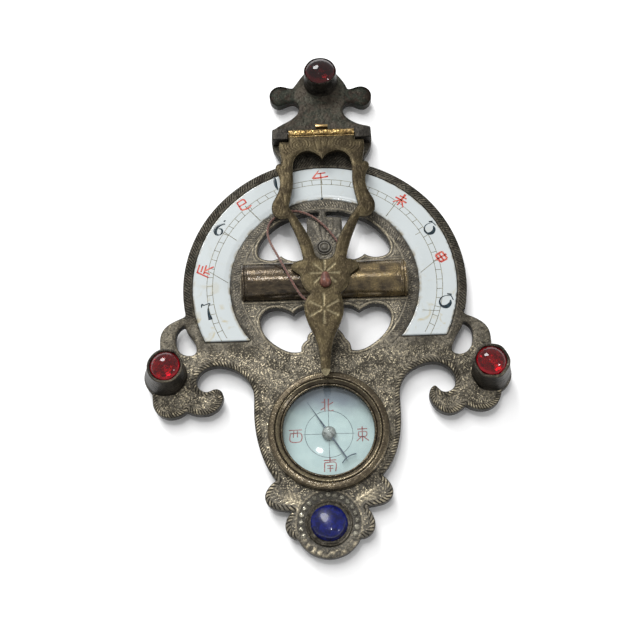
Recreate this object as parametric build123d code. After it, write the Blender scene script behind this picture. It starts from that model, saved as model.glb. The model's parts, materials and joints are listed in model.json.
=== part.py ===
from build123d import *
from math import cos, pi, radians, sin
import os

# String-gnomon compass sundial, lying on its back. Millimetres, +Z out of the front face,
# +Y towards the crest. Everything is drawn round the hour ring's centre and moved by RING_Y
# when it is written, so that the origin is under the middle of the bounding box.

# Driving dimensions
RING_Y = 1.65
RING_R = 42.0
TUBE_R = 5.7
PLATE_T = 3.0
FRONT = TUBE_R  # the tube's axis lies in the plate's front face, so both rest on z = 0
BACK = FRONT - PLATE_T

# Hour scale
CHANNEL_R = (27.9, 39.3)
CHANNEL_DEPTH = 1.5
CHANNEL_END_Y = -17.9
SCALE_R = (28.0, 39.2)
SCALE_END_Y = -17.5
COPPER_T = 0.5
ENAMEL_T = 0.8
ENAMEL_EDGE = 0.45

# Cross tube
TUBE_Y = 0.5
TUBE_HALF = 24.3
TUBE_WALL = 0.8
CAP_T = 1.0
CAP_PLUG = 3.0
SLOT_GAP = 0.1

# Hinge and gnomon arm
HINGE_X = 0.4
HINGE_Y = 49.75
HINGE_Z = FRONT + 2.9
ARM_SLOPE = 4.33
ARM_T = 1.5
BARREL_R = 1.3
BARREL_HALF = 10.3
KNUCKLE_X = (10.4, 15.2)
KNUCKLE_Y = (47.4, 51.2)
KNUCKLE_H = 3.9
STOP_SIZE = (3.8, 0.9, 2.0)
STOP_AT = (0.55, 53.2)
PIN_R = 0.6
PIN_RUNNING = 0.05
PEG_V = 52.95
PEG_SHANK_R = 0.8

# Compass
COMPASS_Y = -45.5
BOWL_R = 15.0
CAVITY_R = 13.6
BOWL_FLOOR = 1.6
DIAL_T = 1.3
BEZEL_R = 17.05
GLASS_R = 13.4
SIGHT_R = 12.8
NEEDLE_ANGLE = 123.0
NEEDLE_Z = 4.1
HUB_R = 2.0

# Settings, which lean a little: foot centre and radius, rim centre and radius, height over the front
# face, stone radius
COLLETS = {
    "left": ((-46.1, -27.7), 6.2, (-45.1, -27.4), 5.2, 8.2, 4.15),
    "right": ((46.6, -29.8), 5.7, (45.8, -28.8), 5.25, 7.8, 4.15),
    "top": ((0.6, 70.8), 5.6, (0.6, 71.0), 5.2, 5.9, 4.7),
}
STONE_DEPTH = 3.2
FOIL_T = 0.2
GIRDLE_DROP = 0.2
STONE_RISE = 2.1
RIVET_R = 1.0
RIVET_HEAD_R = 1.9
LAPIS = (-0.6, -71.0)
LAPIS_R = 5.0
LAPIS_SEAT_R = 6.3
BEAD_RING_R = 9.4

# Thread
THREAD_D = 0.8

# Front outline, right half of the crest and neck about HINGE_X
CREST = [
    [(0, 77.1), (3.8, 75.6), (6.0, 73.2), (7.7, 70.6), (8.8, 69.0)],
    [(8.8, 69.0), (10.6, 69.3), (12.7, 69.9), (14.8, 69.3), (16.1, 67.6), (16.2, 65.2),
     (15.2, 63.4), (13.6, 62.6), (11.8, 63.0), (9.8, 63.9), (8.0, 63.6), (7.0, 61.8),
     (7.3, 59.6), (8.8, 57.7), (11.4, 56.0), (14.6, 54.0)],
    [(14.6, 54.0), (15.6, 53.4)],
    [(15.6, 53.4), (15.7, 50.0), (15.4, 47.0), (14.3, 44.6), (13.1, 42.4), (14.4, 39.6)],
]
EAR_DROP = 1.0  # the right ear sits lower than the left one

# Side arms, compass body and foot: from inside the ring round one side to the lowest point
LEFT_SIDE = [
    [(-39.6, -7.5), (-41.4, -9.5)],
    [(-41.4, -9.5), (-44.0, -10.7), (-46.6, -12.4), (-48.1, -15.0), (-48.2, -19.0), (-50.6, -24.0)],
    [(-50.6, -24.0), (-51.0, -28.5), (-49.9, -33.0), (-49.3, -37.1), (-46.8, -39.7), (-43.4, -40.1),
     (-40.0, -38.3)],
    [(-40.0, -38.3), (-37.6, -39.3), (-34.6, -39.5), (-31.6, -38.3), (-29.8, -35.6), (-30.0, -33.0),
     (-31.8, -32.0), (-34.2, -32.8), (-36.4, -31.9), (-37.4, -29.8), (-36.4, -27.2),
     (-34.0, -25.5), (-31.0, -25.1), (-27.0, -26.2), (-23.2, -29.0), (-21.2, -32.6),
     (-20.9, -38.0), (-20.4, -45.0), (-18.6, -52.0), (-14.7, -59.0)],
    [(-14.7, -59.0), (-17.2, -61.3), (-17.9, -63.8), (-16.4, -66.2), (-13.4, -67.2), (-10.1, -67.4)],
    [(-10.1, -67.4), (-12.0, -69.6), (-12.3, -72.4), (-10.9, -74.4), (-7.6, -74.8)],
]
RIGHT_SIDE = [
    [(38.6, -9.0), (41.0, -11.6)],
    [(41.0, -11.6), (43.8, -12.9), (46.2, -14.8), (47.4, -17.4), (47.5, -20.6), (50.4, -25.0)],
    [(50.4, -25.0), (50.6, -29.5), (49.4, -34.0), (48.3, -37.8), (45.4, -40.2), (42.0, -40.4),
     (38.8, -38.9)],
    [(38.8, -38.9), (36.8, -40.6), (34.0, -41.3), (30.8, -39.9), (28.9, -36.8), (29.3, -33.8),
     (30.4, -33.0), (31.9, -34.4), (34.0, -34.9), (36.0, -33.4), (36.4, -30.8), (35.2, -28.2),
     (32.8, -26.4), (29.6, -25.9), (25.8, -27.0), (22.4, -29.5), (20.7, -33.0),
     (20.4, -38.5), (20.0, -46.0), (18.2, -52.5), (14.3, -58.3)],
    [(14.3, -58.3), (16.6, -60.9), (17.1, -63.3), (15.6, -65.4), (12.8, -66.4), (9.8, -66.9)],
    [(9.8, -66.9), (11.4, -69.4), (11.8, -72.2), (10.6, -74.2), (6.6, -74.8)],
]

# Openings in the ring and side arms, as closed runs of curves
LEFT_WINDOW = [
    [(-1.0, 23.7), (-4.8, 23.4), (-8.4, 22.6)],
    [(-8.4, 22.6), (-13.4, 20.2), (-17.4, 16.6), (-19.7, 12.0), (-19.3, 9.2), (-16.8, 8.0),
     (-14.2, 8.2), (-12.8, 9.3)],
    [(-12.8, 9.3), (-11.0, 8.0), (-8.4, 7.4), (-6.2, 7.6)],
    [(-6.2, 7.6), (-5.4, 11.0), (-4.9, 16.0), (-4.9, 21.7)],
    [(-4.9, 21.7), (-1.2, 22.0)],
]
RIGHT_WINDOW = [
    [(0.9, 23.7), (5.2, 23.5), (9.4, 22.3)],
    [(9.4, 22.3), (13.9, 20.2), (17.7, 16.4), (19.9, 12.0), (19.5, 9.3), (17.2, 8.1),
     (14.0, 8.2), (12.3, 9.1)],
    [(12.3, 9.1), (10.8, 8.0), (8.6, 7.4), (6.4, 7.6)],
    [(6.4, 7.6), (5.9, 11.0), (5.8, 16.0), (5.8, 21.6)],
    [(5.8, 21.6), (1.1, 22.0)],
]
LEFT_HEART = [
    [(-9.5, -9.5), (-12.2, -8.0), (-15.0, -7.6), (-17.6, -8.6), (-19.0, -10.8), (-18.8, -13.6),
     (-17.2, -16.8), (-14.2, -19.6), (-10.8, -21.4), (-7.2, -21.5)],
    [(-7.2, -21.5), (-7.0, -19.6), (-5.4, -18.0)],
    [(-5.4, -18.0), (-5.0, -16.2), (-3.0, -14.4), (-2.4, -11.0), (-3.2, -7.4)],
    [(-3.2, -7.4), (-6.0, -7.4), (-9.5, -9.5)],
]
RIGHT_HEART = [
    [(9.9, -9.1), (12.6, -7.6), (15.4, -7.2), (17.9, -8.3), (19.1, -10.6), (18.8, -13.4),
     (17.0, -16.6), (14.2, -19.2), (10.8, -21.2), (7.2, -21.4)],
    [(7.2, -21.4), (6.9, -19.4), (5.6, -17.8)],
    [(5.6, -17.8), (4.8, -16.2), (3.4, -14.4), (2.8, -11.0), (3.6, -7.4)],
    [(3.6, -7.4), (6.4, -7.3), (9.9, -9.1)],
]
LEFT_LOOP = [
    [(-41.2, -12.1), (-43.4, -14.2), (-43.7, -17.4), (-42.6, -20.3), (-40.2, -21.6), (-37.8, -21.0),
     (-37.6, -19.2), (-39.2, -16.0), (-41.2, -12.1)],
]
RIGHT_LOOP = [
    [(40.0, -13.7), (42.0, -15.4), (42.4, -18.6), (41.3, -22.0), (38.6, -23.7), (36.2, -22.8),
     (36.4, -20.6), (38.0, -17.4), (40.0, -13.7)],
]

# Gnomon arm, right half about HINGE_X: across, and down from the hinge axis
ARM_OUTER = [
    [(10.2, 0.0), (10.2, 3.4)],
    [(10.2, 3.4), (13.0, 3.4)],
    [(13.0, 3.4), (13.1, 6.5), (12.6, 9.4), (12.4, 11.6)],
    [(12.4, 11.6), (13.8, 11.8), (14.3, 13.0), (13.6, 14.9), (13.0, 17.5), (13.0, 19.5),
     (14.0, 23.0), (15.4, 26.4), (15.1, 29.2), (13.0, 31.2), (10.6, 31.0)],
    [(10.6, 31.0), (9.0, 35.3), (7.4, 40.1), (6.3, 45.5)],
    [(6.3, 45.5), (8.5, 46.2), (9.9, 47.5), (8.9, 49.3), (7.3, 50.6), (6.9, 53.0), (5.9, 55.1),
     (4.3, 56.7)],
    [(4.3, 56.7), (5.3, 59.1), (5.6, 61.7), (4.7, 65.7), (3.1, 69.7), (1.9, 73.7), (1.4, 78.2),
     (1.25, 80.7)],
]
ARM_TIP = 82.2
TAIL_FROM = 57.0
TAIL_SHIFT = -0.6  # the arm's lowest lobe and tail are bent a little to the left
ARM_WINDOW = [
    [(0.0, 10.2), (1.7, 8.0), (4.6, 6.9), (7.3, 8.0), (8.9, 11.2), (9.0, 17.6), (9.6, 22.7),
     (10.6, 27.1)],
    [(10.6, 27.1), (8.9, 29.6), (6.4, 33.8), (4.4, 38.0), (3.3, 41.6), (2.5, 44.4), (0.0, 45.5)],
]

# Thread route from the plate, round the arm's left knob, over the tube and under the arm
THREAD_ROUTE = [
    (5.0, 11.6, 6.3), (3.9, 13.6, 6.35), (2.3, 16.1, 6.4), (-0.2, 19.3, 6.4), (-3.7, 22.3, 6.4),
    (-8.1, 24.1, 6.4), (-12.7, 23.3, 6.4), (-16.0, 20.6, 6.4), (-16.9, 16.9, 6.7),
    (-16.1, 13.2, 7.8), (-14.8, 9.8, 9.6), (-13.3, 6.2, 11.5), (-11.6, 2.4, 12.35),
    (-9.8, -1.2, 12.2), (-8.1, -4.4, 11.5), (-6.3, -7.2, 11.3), (-3.6, -8.8, 11.3),
    (-1.1, -7.8, 11.3), (0.1, -5.6, 11.3), (0.3, -3.6, 11.3),
]


def turned(points, side=1, across=0.0, drop=0.0):
    """Points on the side that side names, moved across and down."""
    return [(across + side * x, y - drop) for x, y in points]


def curves(runs):
    """One spline for each run of points, or a line where a run has only two."""
    return [Spline(*run) if len(run) > 2 else Line(*run) for run in runs]


def closed_face(runs):
    """A face inside runs of points that follow each other, closed by a line if they don't meet."""
    edges = curves(runs)
    if runs[0][0] != runs[-1][-1]:
        edges.append(Line(runs[-1][-1], runs[0][0]))
    return make_face(edges)


def disc(radius, bottom, height, at=(0, 0)):
    """A round solid that stands on the height called bottom."""
    return Pos(at[0], at[1], bottom + height / 2) * Cylinder(radius, height)


def tube_ring(outer, inner, bottom, height, at=(0, 0)):
    """A flat ring."""
    return disc(outer, bottom, height, at) - disc(inner, bottom - 1, height + 2, at)


def turned_solid(profile, at=(0, 0)):
    """A solid of revolution about an upright axis, from edges in the XZ plane."""
    return Pos(at[0], at[1], 0) * revolve(make_face(profile), Axis.Z)


def upright(points):
    """Profile points, radius and height, as points in the XZ plane."""
    return [(radius, 0, height) for radius, height in points]


def sector_above(face, end_y):
    """The part of a flat face that lies above a level."""
    return face & Pos(0, end_y + RING_R) * Rectangle(4 * RING_R, 2 * RING_R)


def plate_outline():
    """The casting's outline, before any opening is cut."""
    crest_runs = [turned(run, 1, HINGE_X, EAR_DROP if index == 1 else 0) for index, run in enumerate(CREST)]
    crest_runs[0][-1] = crest_runs[1][0]
    crest_runs[1][-1] = crest_runs[2][0]
    left_runs = [turned(run, -1, HINGE_X)[::-1] for run in CREST[::-1]]
    crest = closed_face(crest_runs + [[crest_runs[-1][-1], left_runs[0][0]]] + left_runs)
    foot = [[LEFT_SIDE[-1][-1], RIGHT_SIDE[-1][-1]]]
    body = closed_face(LEFT_SIDE + foot + [run[::-1] for run in RIGHT_SIDE[::-1]])
    ring = sector_above(Circle(RING_R), -10.0)
    beads = Pos(*LAPIS) * Circle(BEAD_RING_R)
    feet = [Pos(*foot) * Circle(foot_r + 0.1) for foot, foot_r, *_ in COLLETS.values()]
    return ring + crest + body + beads + feet


def make_plate():
    """The pierced casting that everything is mounted on."""
    plate = Pos(0, 0, BACK) * extrude(plate_outline(), PLATE_T)
    for runs in (LEFT_WINDOW, RIGHT_WINDOW, LEFT_HEART, RIGHT_HEART, LEFT_LOOP, RIGHT_LOOP):
        plate -= Pos(0, 0, BACK - 1) * extrude(closed_face(runs), PLATE_T + 2)
    channel = sector_above(Circle(CHANNEL_R[1]) - Circle(CHANNEL_R[0]), CHANNEL_END_Y)
    plate -= Pos(0, 0, FRONT - CHANNEL_DEPTH) * extrude(channel, CHANNEL_DEPTH + 1)
    plate -= Pos(0, TUBE_Y, FRONT) * Rot(0, 90, 0) * Cylinder(TUBE_R, 2 * (TUBE_HALF + SLOT_GAP))
    plate -= disc(BOWL_R, BACK - 1, PLATE_T + 2, (0, COMPASS_Y))
    plate -= disc(LAPIS_SEAT_R, FRONT - 1.0, 2, LAPIS)
    for _, _, rim, *_ in COLLETS.values():
        plate -= disc(RIVET_R, BACK - 1, PLATE_T + 2, rim)
    return plate


def scale_layer(bottom, height):
    """A C-shaped sheet of the hour scale."""
    face = sector_above(Circle(SCALE_R[1]) - Circle(SCALE_R[0]), SCALE_END_Y)
    return Pos(0, 0, bottom) * extrude(face, height)


def make_enamel():
    """The enamel layer, with its upper edges rounded as fired enamel is."""
    layer = scale_layer(FRONT - CHANNEL_DEPTH + COPPER_T, ENAMEL_T)
    return fillet(layer.faces().sort_by(Axis.Z)[-1].edges(), ENAMEL_EDGE)


def make_tube():
    """The open brass tube between its caps."""
    length = 2 * (TUBE_HALF - CAP_T)
    wall = Cylinder(TUBE_R, length) - Cylinder(TUBE_R - TUBE_WALL, length + 2)
    return Pos(0, TUBE_Y, FRONT) * Rot(0, 90, 0) * wall


def make_tube_cap(side):
    """An end cap: a disc with a plug that goes into the tube."""
    cap = Pos(0, 0, TUBE_HALF - CAP_T / 2) * Cylinder(TUBE_R, CAP_T)
    plug_r = TUBE_R - TUBE_WALL
    plug = Pos(0, 0, TUBE_HALF - CAP_T - CAP_PLUG / 2) * Cylinder(plug_r, CAP_PLUG)
    hollow = Pos(0, 0, TUBE_HALF - CAP_T - CAP_PLUG / 2) * Cylinder(plug_r - 0.8, CAP_PLUG)
    return Pos(0, TUBE_Y, FRONT) * Rot(0, side * 90, 0) * (cap + plug - hollow)


def make_knuckle(side):
    """A hinge knuckle: a square block on the neck, bored for the pin."""
    width = KNUCKLE_X[1] - KNUCKLE_X[0]
    middle = HINGE_X + side * (KNUCKLE_X[0] + KNUCKLE_X[1]) / 2
    block = Box(width, KNUCKLE_Y[1] - KNUCKLE_Y[0], KNUCKLE_H)
    block = fillet(block.faces().sort_by(Axis.Z)[-1].edges(), 0.3)
    block = Pos(middle, (KNUCKLE_Y[0] + KNUCKLE_Y[1]) / 2, FRONT + KNUCKLE_H / 2) * block
    return block - Pos(middle, HINGE_Y, HINGE_Z) * Rot(0, 90, 0) * Cylinder(PIN_R, width + 1)


def make_hinge_pin():
    """The steel pin, held by both knuckles."""
    length = 2 * KNUCKLE_X[1] - 0.4
    return Pos(HINGE_X, HINGE_Y, HINGE_Z) * Rot(0, 90, 0) * Cylinder(PIN_R, length)


def on_arm(piece):
    """Puts a piece drawn flat, with the hinge axis on X, onto the sloping arm."""
    return Pos(HINGE_X, HINGE_Y, HINGE_Z) * Rot(-ARM_SLOPE, 0, 0) * piece


def bent(run):
    """Points of the arm, with its lowest lobe and tail moved to the left."""
    return [(x + TAIL_SHIFT if drop > TAIL_FROM else x, -drop) for x, drop in run]


def arm_face(runs, tip=None):
    """A face drawn from its right half about the arm's middle."""
    right = [bent(run) for run in runs]
    left = [bent([(-x, drop) for x, drop in run[::-1]]) for run in runs[::-1]]
    bridge = [[right[-1][-1], *bent([tip]), left[0][0]]] if tip else []
    return closed_face(right + bridge + left)


def make_arm():
    """The openwork gnomon arm, grooved for its barrel."""
    blade = arm_face(ARM_OUTER, (0, ARM_TIP)) - arm_face(ARM_WINDOW)
    arm = Pos(0, 0, -ARM_T / 2) * extrude(blade, ARM_T)
    arm -= Rot(0, 90, 0) * Cylinder(BARREL_R, 2 * BARREL_HALF + 2)
    arm -= Pos(0, -PEG_V, 0) * Cylinder(PEG_SHANK_R, ARM_T + 2)
    return on_arm(arm)


def make_barrel():
    """The hinge barrel soldered along the arm's top edge."""
    bore_r = PIN_R + PIN_RUNNING
    return on_arm(Rot(0, 90, 0) * (Cylinder(BARREL_R, 2 * BARREL_HALF) - Cylinder(bore_r, 30)))


def make_peg():
    """The pear-shaped peg that wedges the thread in the arm's hole."""
    head = Pos(0, -0.5, 0) * Sphere(1.75) + Pos(0, 1.4, 0) * Rot(-90, 0, 0) * Cone(1.65, 1.0, 2.6)
    head &= Pos(0, 0, 2) * Box(8, 8, 4)
    shank_length = ARM_T + 0.25
    shank = Pos(0, 0, -shank_length / 2) * Cylinder(PEG_SHANK_R, shank_length)
    return on_arm(Pos(0, -PEG_V, ARM_T / 2) * (head + shank))


def make_stop_block():
    """The small brass block on the crest, close behind the barrel."""
    block = Box(*STOP_SIZE)
    block = fillet(block.edges().filter_by(Axis.X), 0.2)
    return Pos(*STOP_AT, FRONT + STOP_SIZE[2] / 2) * block


def make_rosette():
    """The turned boss at the middle of the shell, which anchors the thread."""
    profile = [(0, 0), (2.5, 0), (2.5, 0.35), (1.8, 0.35), (1.8, 0.6), (1.0, 0.6), (1.0, 0.9), (0, 0.9)]
    points = upright([(radius, FRONT + height) for radius, height in profile])
    return turned_solid(Polyline(*points, close=True), (0.3, 11.5))


def make_collet(name):
    """A tall leaning setting with a bored seat and a rivet hole."""
    foot, foot_r, rim, rim_r, height, stone_r = COLLETS[name]
    wall = loft([Pos(*foot, FRONT) * Circle(foot_r), Pos(*rim, FRONT + height) * Circle(rim_r)], ruled=True)
    seat = disc(stone_r, FRONT + height - STONE_DEPTH, STONE_DEPTH + 1, rim)
    return wall - seat - disc(RIVET_R, FRONT - 1, height - STONE_DEPTH + 1, rim)


def make_foil(name):
    """The bright foil under a red glass."""
    _, _, rim, _, height, stone_r = COLLETS[name]
    return disc(stone_r, FRONT + height - STONE_DEPTH, FOIL_T, rim)


def make_red_glass(name):
    """A domed red glass that fills its setting's seat."""
    _, _, rim, _, height, stone_r = COLLETS[name]
    bottom = FRONT + height - STONE_DEPTH + FOIL_T
    return domed_stone(stone_r, bottom, FRONT + height - GIRDLE_DROP, STONE_RISE, rim)


def dome_arc(radius, base, rise):
    """The arc of a spherical cap's profile, from its rim to its top."""
    sphere_r = (radius**2 + rise**2) / (2 * rise)
    half = radius / 2
    mid_height = base + rise - sphere_r + (sphere_r**2 - half**2) ** 0.5
    return ThreePointArc((radius, 0, base), (half, 0, mid_height), (0, 0, base + rise))


def domed_stone(radius, bottom, girdle, rise, at):
    """A round stone: a straight girdle under a spherical dome."""
    edges = [
        Line((0, 0, bottom), (radius, 0, bottom)),
        Line((radius, 0, bottom), (radius, 0, girdle)),
        dome_arc(radius, girdle, rise),
        Line((0, 0, girdle + rise), (0, 0, bottom)),
    ]
    return turned_solid(edges, at)


def make_rivets():
    """Three rivets, headed behind the plate, that hold the settings."""
    rivets = []
    for _, _, rim, _, height, _ in COLLETS.values():
        head = disc(RIVET_HEAD_R, BACK - 0.6, 0.6, rim)
        top = FRONT + height - STONE_DEPTH
        rivets.append(head + disc(RIVET_R, BACK, top - BACK, rim))
    return rivets[0] + rivets[1:]


def make_lapis_seat():
    """The low dished seat of the blue stone."""
    profile = [(0, -1.0), (LAPIS_SEAT_R, -1.0), (LAPIS_SEAT_R, 0.1), (LAPIS_SEAT_R - 0.3, 0.4),
               (LAPIS_SEAT_R - 0.8, -0.1), (LAPIS_R, -0.3), (LAPIS_R, -0.6), (0, -0.6)]
    points = upright([(radius, FRONT + height) for radius, height in profile])
    return turned_solid(Polyline(*points, close=True), LAPIS)


def make_bowl():
    """The compass box: it passes through the plate and is the lower rest."""
    bowl = disc(BOWL_R, 0, FRONT + 0.3, (0, COMPASS_Y)) - disc(CAVITY_R, BOWL_FLOOR, 10, (0, COMPASS_Y))
    return fillet(bowl.faces().sort_by(Axis.Z)[0].edges(), 0.8)


def make_bezel():
    """The turned bezel, which clamps the glass over the bowl."""
    clear_r = BOWL_R + 0.05
    glass_r = GLASS_R + 0.05
    profile = [(SIGHT_R - 0.1, 0.3), (clear_r, 0.3), (clear_r, 0), (BEZEL_R, 0), (BEZEL_R, 1.7),
               (16.8, 2.2), (15.3, 2.45), (15.0, 2.2), (14.75, 2.5), (14.4, 2.4), (glass_r, 1.7),
               (glass_r, 0.9), (SIGHT_R - 0.1, 0.9)]
    points = upright([(radius, FRONT + height) for radius, height in profile])
    return turned_solid(Polyline(*points, close=True), (0, COMPASS_Y))


def make_glass():
    """The thin domed compass glass, with a flat rim that the bezel holds."""
    rim, edge, rise = FRONT + 0.9, 0.5, 1.6
    flat = GLASS_R - 0.8
    edges = [
        dome_arc(flat, rim + edge, rise - edge),
        Line((flat, 0, rim + edge), (GLASS_R, 0, rim + edge)),
        Line((GLASS_R, 0, rim + edge), (GLASS_R, 0, rim)),
        Line((GLASS_R, 0, rim), (flat, 0, rim)),
        dome_arc(flat, rim, rise - edge),
        Line((0, 0, rim + rise - edge), (0, 0, rim + rise)),
    ]
    return turned_solid(edges, (0, COMPASS_Y))


def make_pivot():
    """The steel point that stands on the dial."""
    stem = disc(0.5, BOWL_FLOOR + DIAL_T, 0.9, (0, COMPASS_Y))
    point = Pos(0, COMPASS_Y, BOWL_FLOOR + DIAL_T + 0.9 + 0.3) * Cone(0.5, 0.1, 0.6)
    return stem + point


def make_needle():
    """The slim needle, pointed at one end, with a bowed crossbar near the other."""
    tail = -8.9
    blade = Polyline((11.0, 0), (2.0, 0.26), (tail, 0.2), (tail, -0.2), (2.0, -0.26), close=True)
    bow = Pos(tail - 4.7, -0.5) * (Circle(5.0) - Circle(4.7))
    bow &= Pos(tail, -0.5) * Rectangle(2.0, 4.7)
    hub = Circle(HUB_R - 0.35)
    face = make_face(blade) + bow + hub - Circle(0.75)
    needle = Pos(0, 0, NEEDLE_Z) * extrude(face, 0.25)
    return Pos(0, COMPASS_Y, 0) * Rot(0, 0, NEEDLE_ANGLE) * needle


def make_needle_cap():
    """The brass cap that carries the needle on the pivot."""
    profile = [(0.62, -0.45), (0.75, -0.45), (0.75, 0.25), (HUB_R, 0.25), (HUB_R, 0.5), (1.4, 0.85),
               (0, 1.0), (0, 0.75), (0.62, 0.1)]
    points = upright([(radius, NEEDLE_Z + height) for radius, height in profile])
    return turned_solid(Polyline(*points, close=True), (0, COMPASS_Y))


def make_thread():
    """The thread: straight runs joined by tangent arcs."""
    points = [Vector(*point) for point in THREAD_ROUTE]
    radii = []
    for before, here, after in zip(points, points[1:], points[2:]):
        half_turn = radians((here - before).get_angle(after - here)) / 2
        shorter = min((here - before).length, (after - here).length)
        radii.append(0.45 * shorter * cos(half_turn) / sin(half_turn))
    path = FilletPolyline(*points, radius=radii)
    section = Plane(path @ 0, z_dir=path % 0) * Circle(THREAD_D / 2)
    thread = sweep(section, path=path)
    print("thread radii", [round(radius, 1) for radius in radii])
    print("thread length", round(path.length, 2), "volume", round(thread.volume, 3),
          "section x length", round(pi * THREAD_D**2 / 4 * path.length, 3))
    return thread


PARTS = {
    "main_plate": make_plate,
    "scale_copper_base": lambda: scale_layer(FRONT - CHANNEL_DEPTH, COPPER_T),
    "scale_enamel": make_enamel,
    "sight_tube": make_tube,
    "tube_cap_left": lambda: make_tube_cap(-1),
    "tube_cap_right": lambda: make_tube_cap(1),
    "knuckle_left": lambda: make_knuckle(-1),
    "knuckle_right": lambda: make_knuckle(1),
    "hinge_pin": make_hinge_pin,
    "stop_block": make_stop_block,
    "gnomon_arm": make_arm,
    "arm_barrel": make_barrel,
    "thread_peg": make_peg,
    "anchor_rosette": make_rosette,
    "gnomon_thread": make_thread,
    "collet_rivets": make_rivets,
    "lapis_seat": make_lapis_seat,
    "lapis_cabochon": lambda: domed_stone(LAPIS_R, FRONT - 0.6, FRONT + 0.1, 2.6, LAPIS),
    "compass_bowl": make_bowl,
    "compass_dial": lambda: disc(CAVITY_R, BOWL_FLOOR, DIAL_T, (0, COMPASS_Y)),
    "compass_bezel": make_bezel,
    "compass_glass": make_glass,
    "glass_retaining_ring": lambda: tube_ring(GLASS_R, SIGHT_R, FRONT + 1.4, 0.6, (0, COMPASS_Y)),
    "needle_pivot": make_pivot,
    "compass_needle": make_needle,
    "needle_cap": make_needle_cap,
}
for stone in COLLETS:
    PARTS["collet_" + stone] = lambda stone=stone: make_collet(stone)
    PARTS["foil_" + stone] = lambda stone=stone: make_foil(stone)
    PARTS["red_glass_" + stone] = lambda stone=stone: make_red_glass(stone)

os.makedirs("parts", exist_ok=True)
for node, make in PARTS.items():
    export_step(Pos(0, RING_Y, 0) * make(), os.path.join("parts", node + ".step"))
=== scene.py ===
"""Looks of the string-gnomon compass sundial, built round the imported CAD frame.

Shapes are authored in millimetres round the hour ring's centre, with z up from the floor, and are
scaled to metres when a mesh is made.
"""

import json
import math

import bmesh
import bpy
import numpy as np
from mathutils import Matrix, Vector, kdtree


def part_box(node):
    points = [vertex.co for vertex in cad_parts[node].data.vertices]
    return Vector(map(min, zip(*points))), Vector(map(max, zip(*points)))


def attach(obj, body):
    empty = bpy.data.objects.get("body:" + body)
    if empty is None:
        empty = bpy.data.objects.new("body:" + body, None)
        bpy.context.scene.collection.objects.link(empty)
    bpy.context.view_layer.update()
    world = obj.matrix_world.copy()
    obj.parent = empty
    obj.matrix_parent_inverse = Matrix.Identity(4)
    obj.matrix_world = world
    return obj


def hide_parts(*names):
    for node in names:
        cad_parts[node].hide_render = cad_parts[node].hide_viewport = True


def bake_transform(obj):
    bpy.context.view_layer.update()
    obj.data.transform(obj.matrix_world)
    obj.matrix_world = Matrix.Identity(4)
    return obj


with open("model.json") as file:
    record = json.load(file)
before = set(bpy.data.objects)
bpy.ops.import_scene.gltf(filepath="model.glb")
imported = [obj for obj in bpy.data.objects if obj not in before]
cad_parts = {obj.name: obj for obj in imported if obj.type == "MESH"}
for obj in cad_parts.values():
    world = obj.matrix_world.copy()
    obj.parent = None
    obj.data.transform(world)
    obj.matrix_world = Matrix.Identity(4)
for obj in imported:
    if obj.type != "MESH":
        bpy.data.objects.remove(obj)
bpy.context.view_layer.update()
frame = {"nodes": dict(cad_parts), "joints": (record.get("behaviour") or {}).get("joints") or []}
MM = 0.001


def node_box(name):
    """Lowest and highest corner of a CAD node, in millimetres of the part's frame."""
    low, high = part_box(name)
    return np.array(low) / MM, np.array(high) / MM


def centre_of(low, high):
    """The middle of a box seen from above, from the hour ring's centre."""
    return ((low + high) / 2 - (0, RING_Y, 0))[:2]


# Places and sizes worked out from the frame
scale_low, scale_high = node_box("scale_enamel")
SCALE_OUT = (scale_high[0] - scale_low[0]) / 2
RING_Y = scale_high[1] - SCALE_OUT
SCALE_IN = SCALE_OUT - 11.2
SCALE_END = scale_low[1] - RING_Y
ENAMEL_Z = scale_high[2]
FRONT = node_box("main_plate")[1][2]
RING_R = SCALE_OUT + 2.8
tube_low, tube_high = node_box("sight_tube")
TUBE_R = (tube_high[2] - tube_low[2]) / 2
TUBE_Y = (tube_low[1] + tube_high[1]) / 2 - RING_Y
TUBE_HALF = node_box("tube_cap_right")[1][0]
COMPASS = centre_of(*node_box("compass_bezel"))
DIAL_Z = node_box("compass_dial")[1][2]
lapis_low, lapis_high = node_box("lapis_cabochon")
LAPIS = centre_of(lapis_low, lapis_high)
LAPIS_R = (lapis_high[0] - lapis_low[0]) / 2
hinge = next(joint for joint in frame["joints"] if joint["name"] == "arm_hinge")
HINGE = np.array(hinge["pos_m"]) / MM - (0, RING_Y, 0)
ARM_SLOPE = math.radians(4.33)
ARM_T = 1.5


# ---------------------------------------------------------------- mesh helpers


def to_part(points):
    """Authored points in metres of the part's frame."""
    return (np.asarray(points, float) + (0, RING_Y, 0)) * MM


def smoothstep(low, high, value):
    """0 below low, 1 above high, smooth between."""
    t = np.clip((value - low) / (high - low), 0, 1)
    return t * t * (3 - 2 * t)


def make_piece(name, points, faces, material, body="root", replaces=(), smooth=True):
    """A mesh piece from authored points, with its material, slot and body."""
    mesh = bpy.data.meshes.new(name)
    mesh.from_pydata([tuple(p) for p in to_part(points)], [], [tuple(f) for f in faces])
    mesh.update()
    piece = bpy.data.objects.new(name, mesh)
    bpy.context.scene.collection.objects.link(piece)
    finish_piece(piece, material, body, replaces, smooth)
    return piece


def finish_piece(piece, material, body="root", replaces=(), smooth=True):
    """Closes seams, sets shading, material and slot, and puts the piece on its body."""
    work = bmesh.new()
    work.from_mesh(piece.data)
    bmesh.ops.remove_doubles(work, verts=work.verts, dist=1e-6)
    bmesh.ops.recalc_face_normals(work, faces=work.faces)
    work.to_mesh(piece.data)
    work.free()
    piece.data.polygons.foreach_set("use_smooth", [smooth] * len(piece.data.polygons))
    piece.data.materials.clear()
    piece.data.materials.append(material)
    if body:
        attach(piece, body)
    if replaces:
        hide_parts(*replaces)


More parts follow.
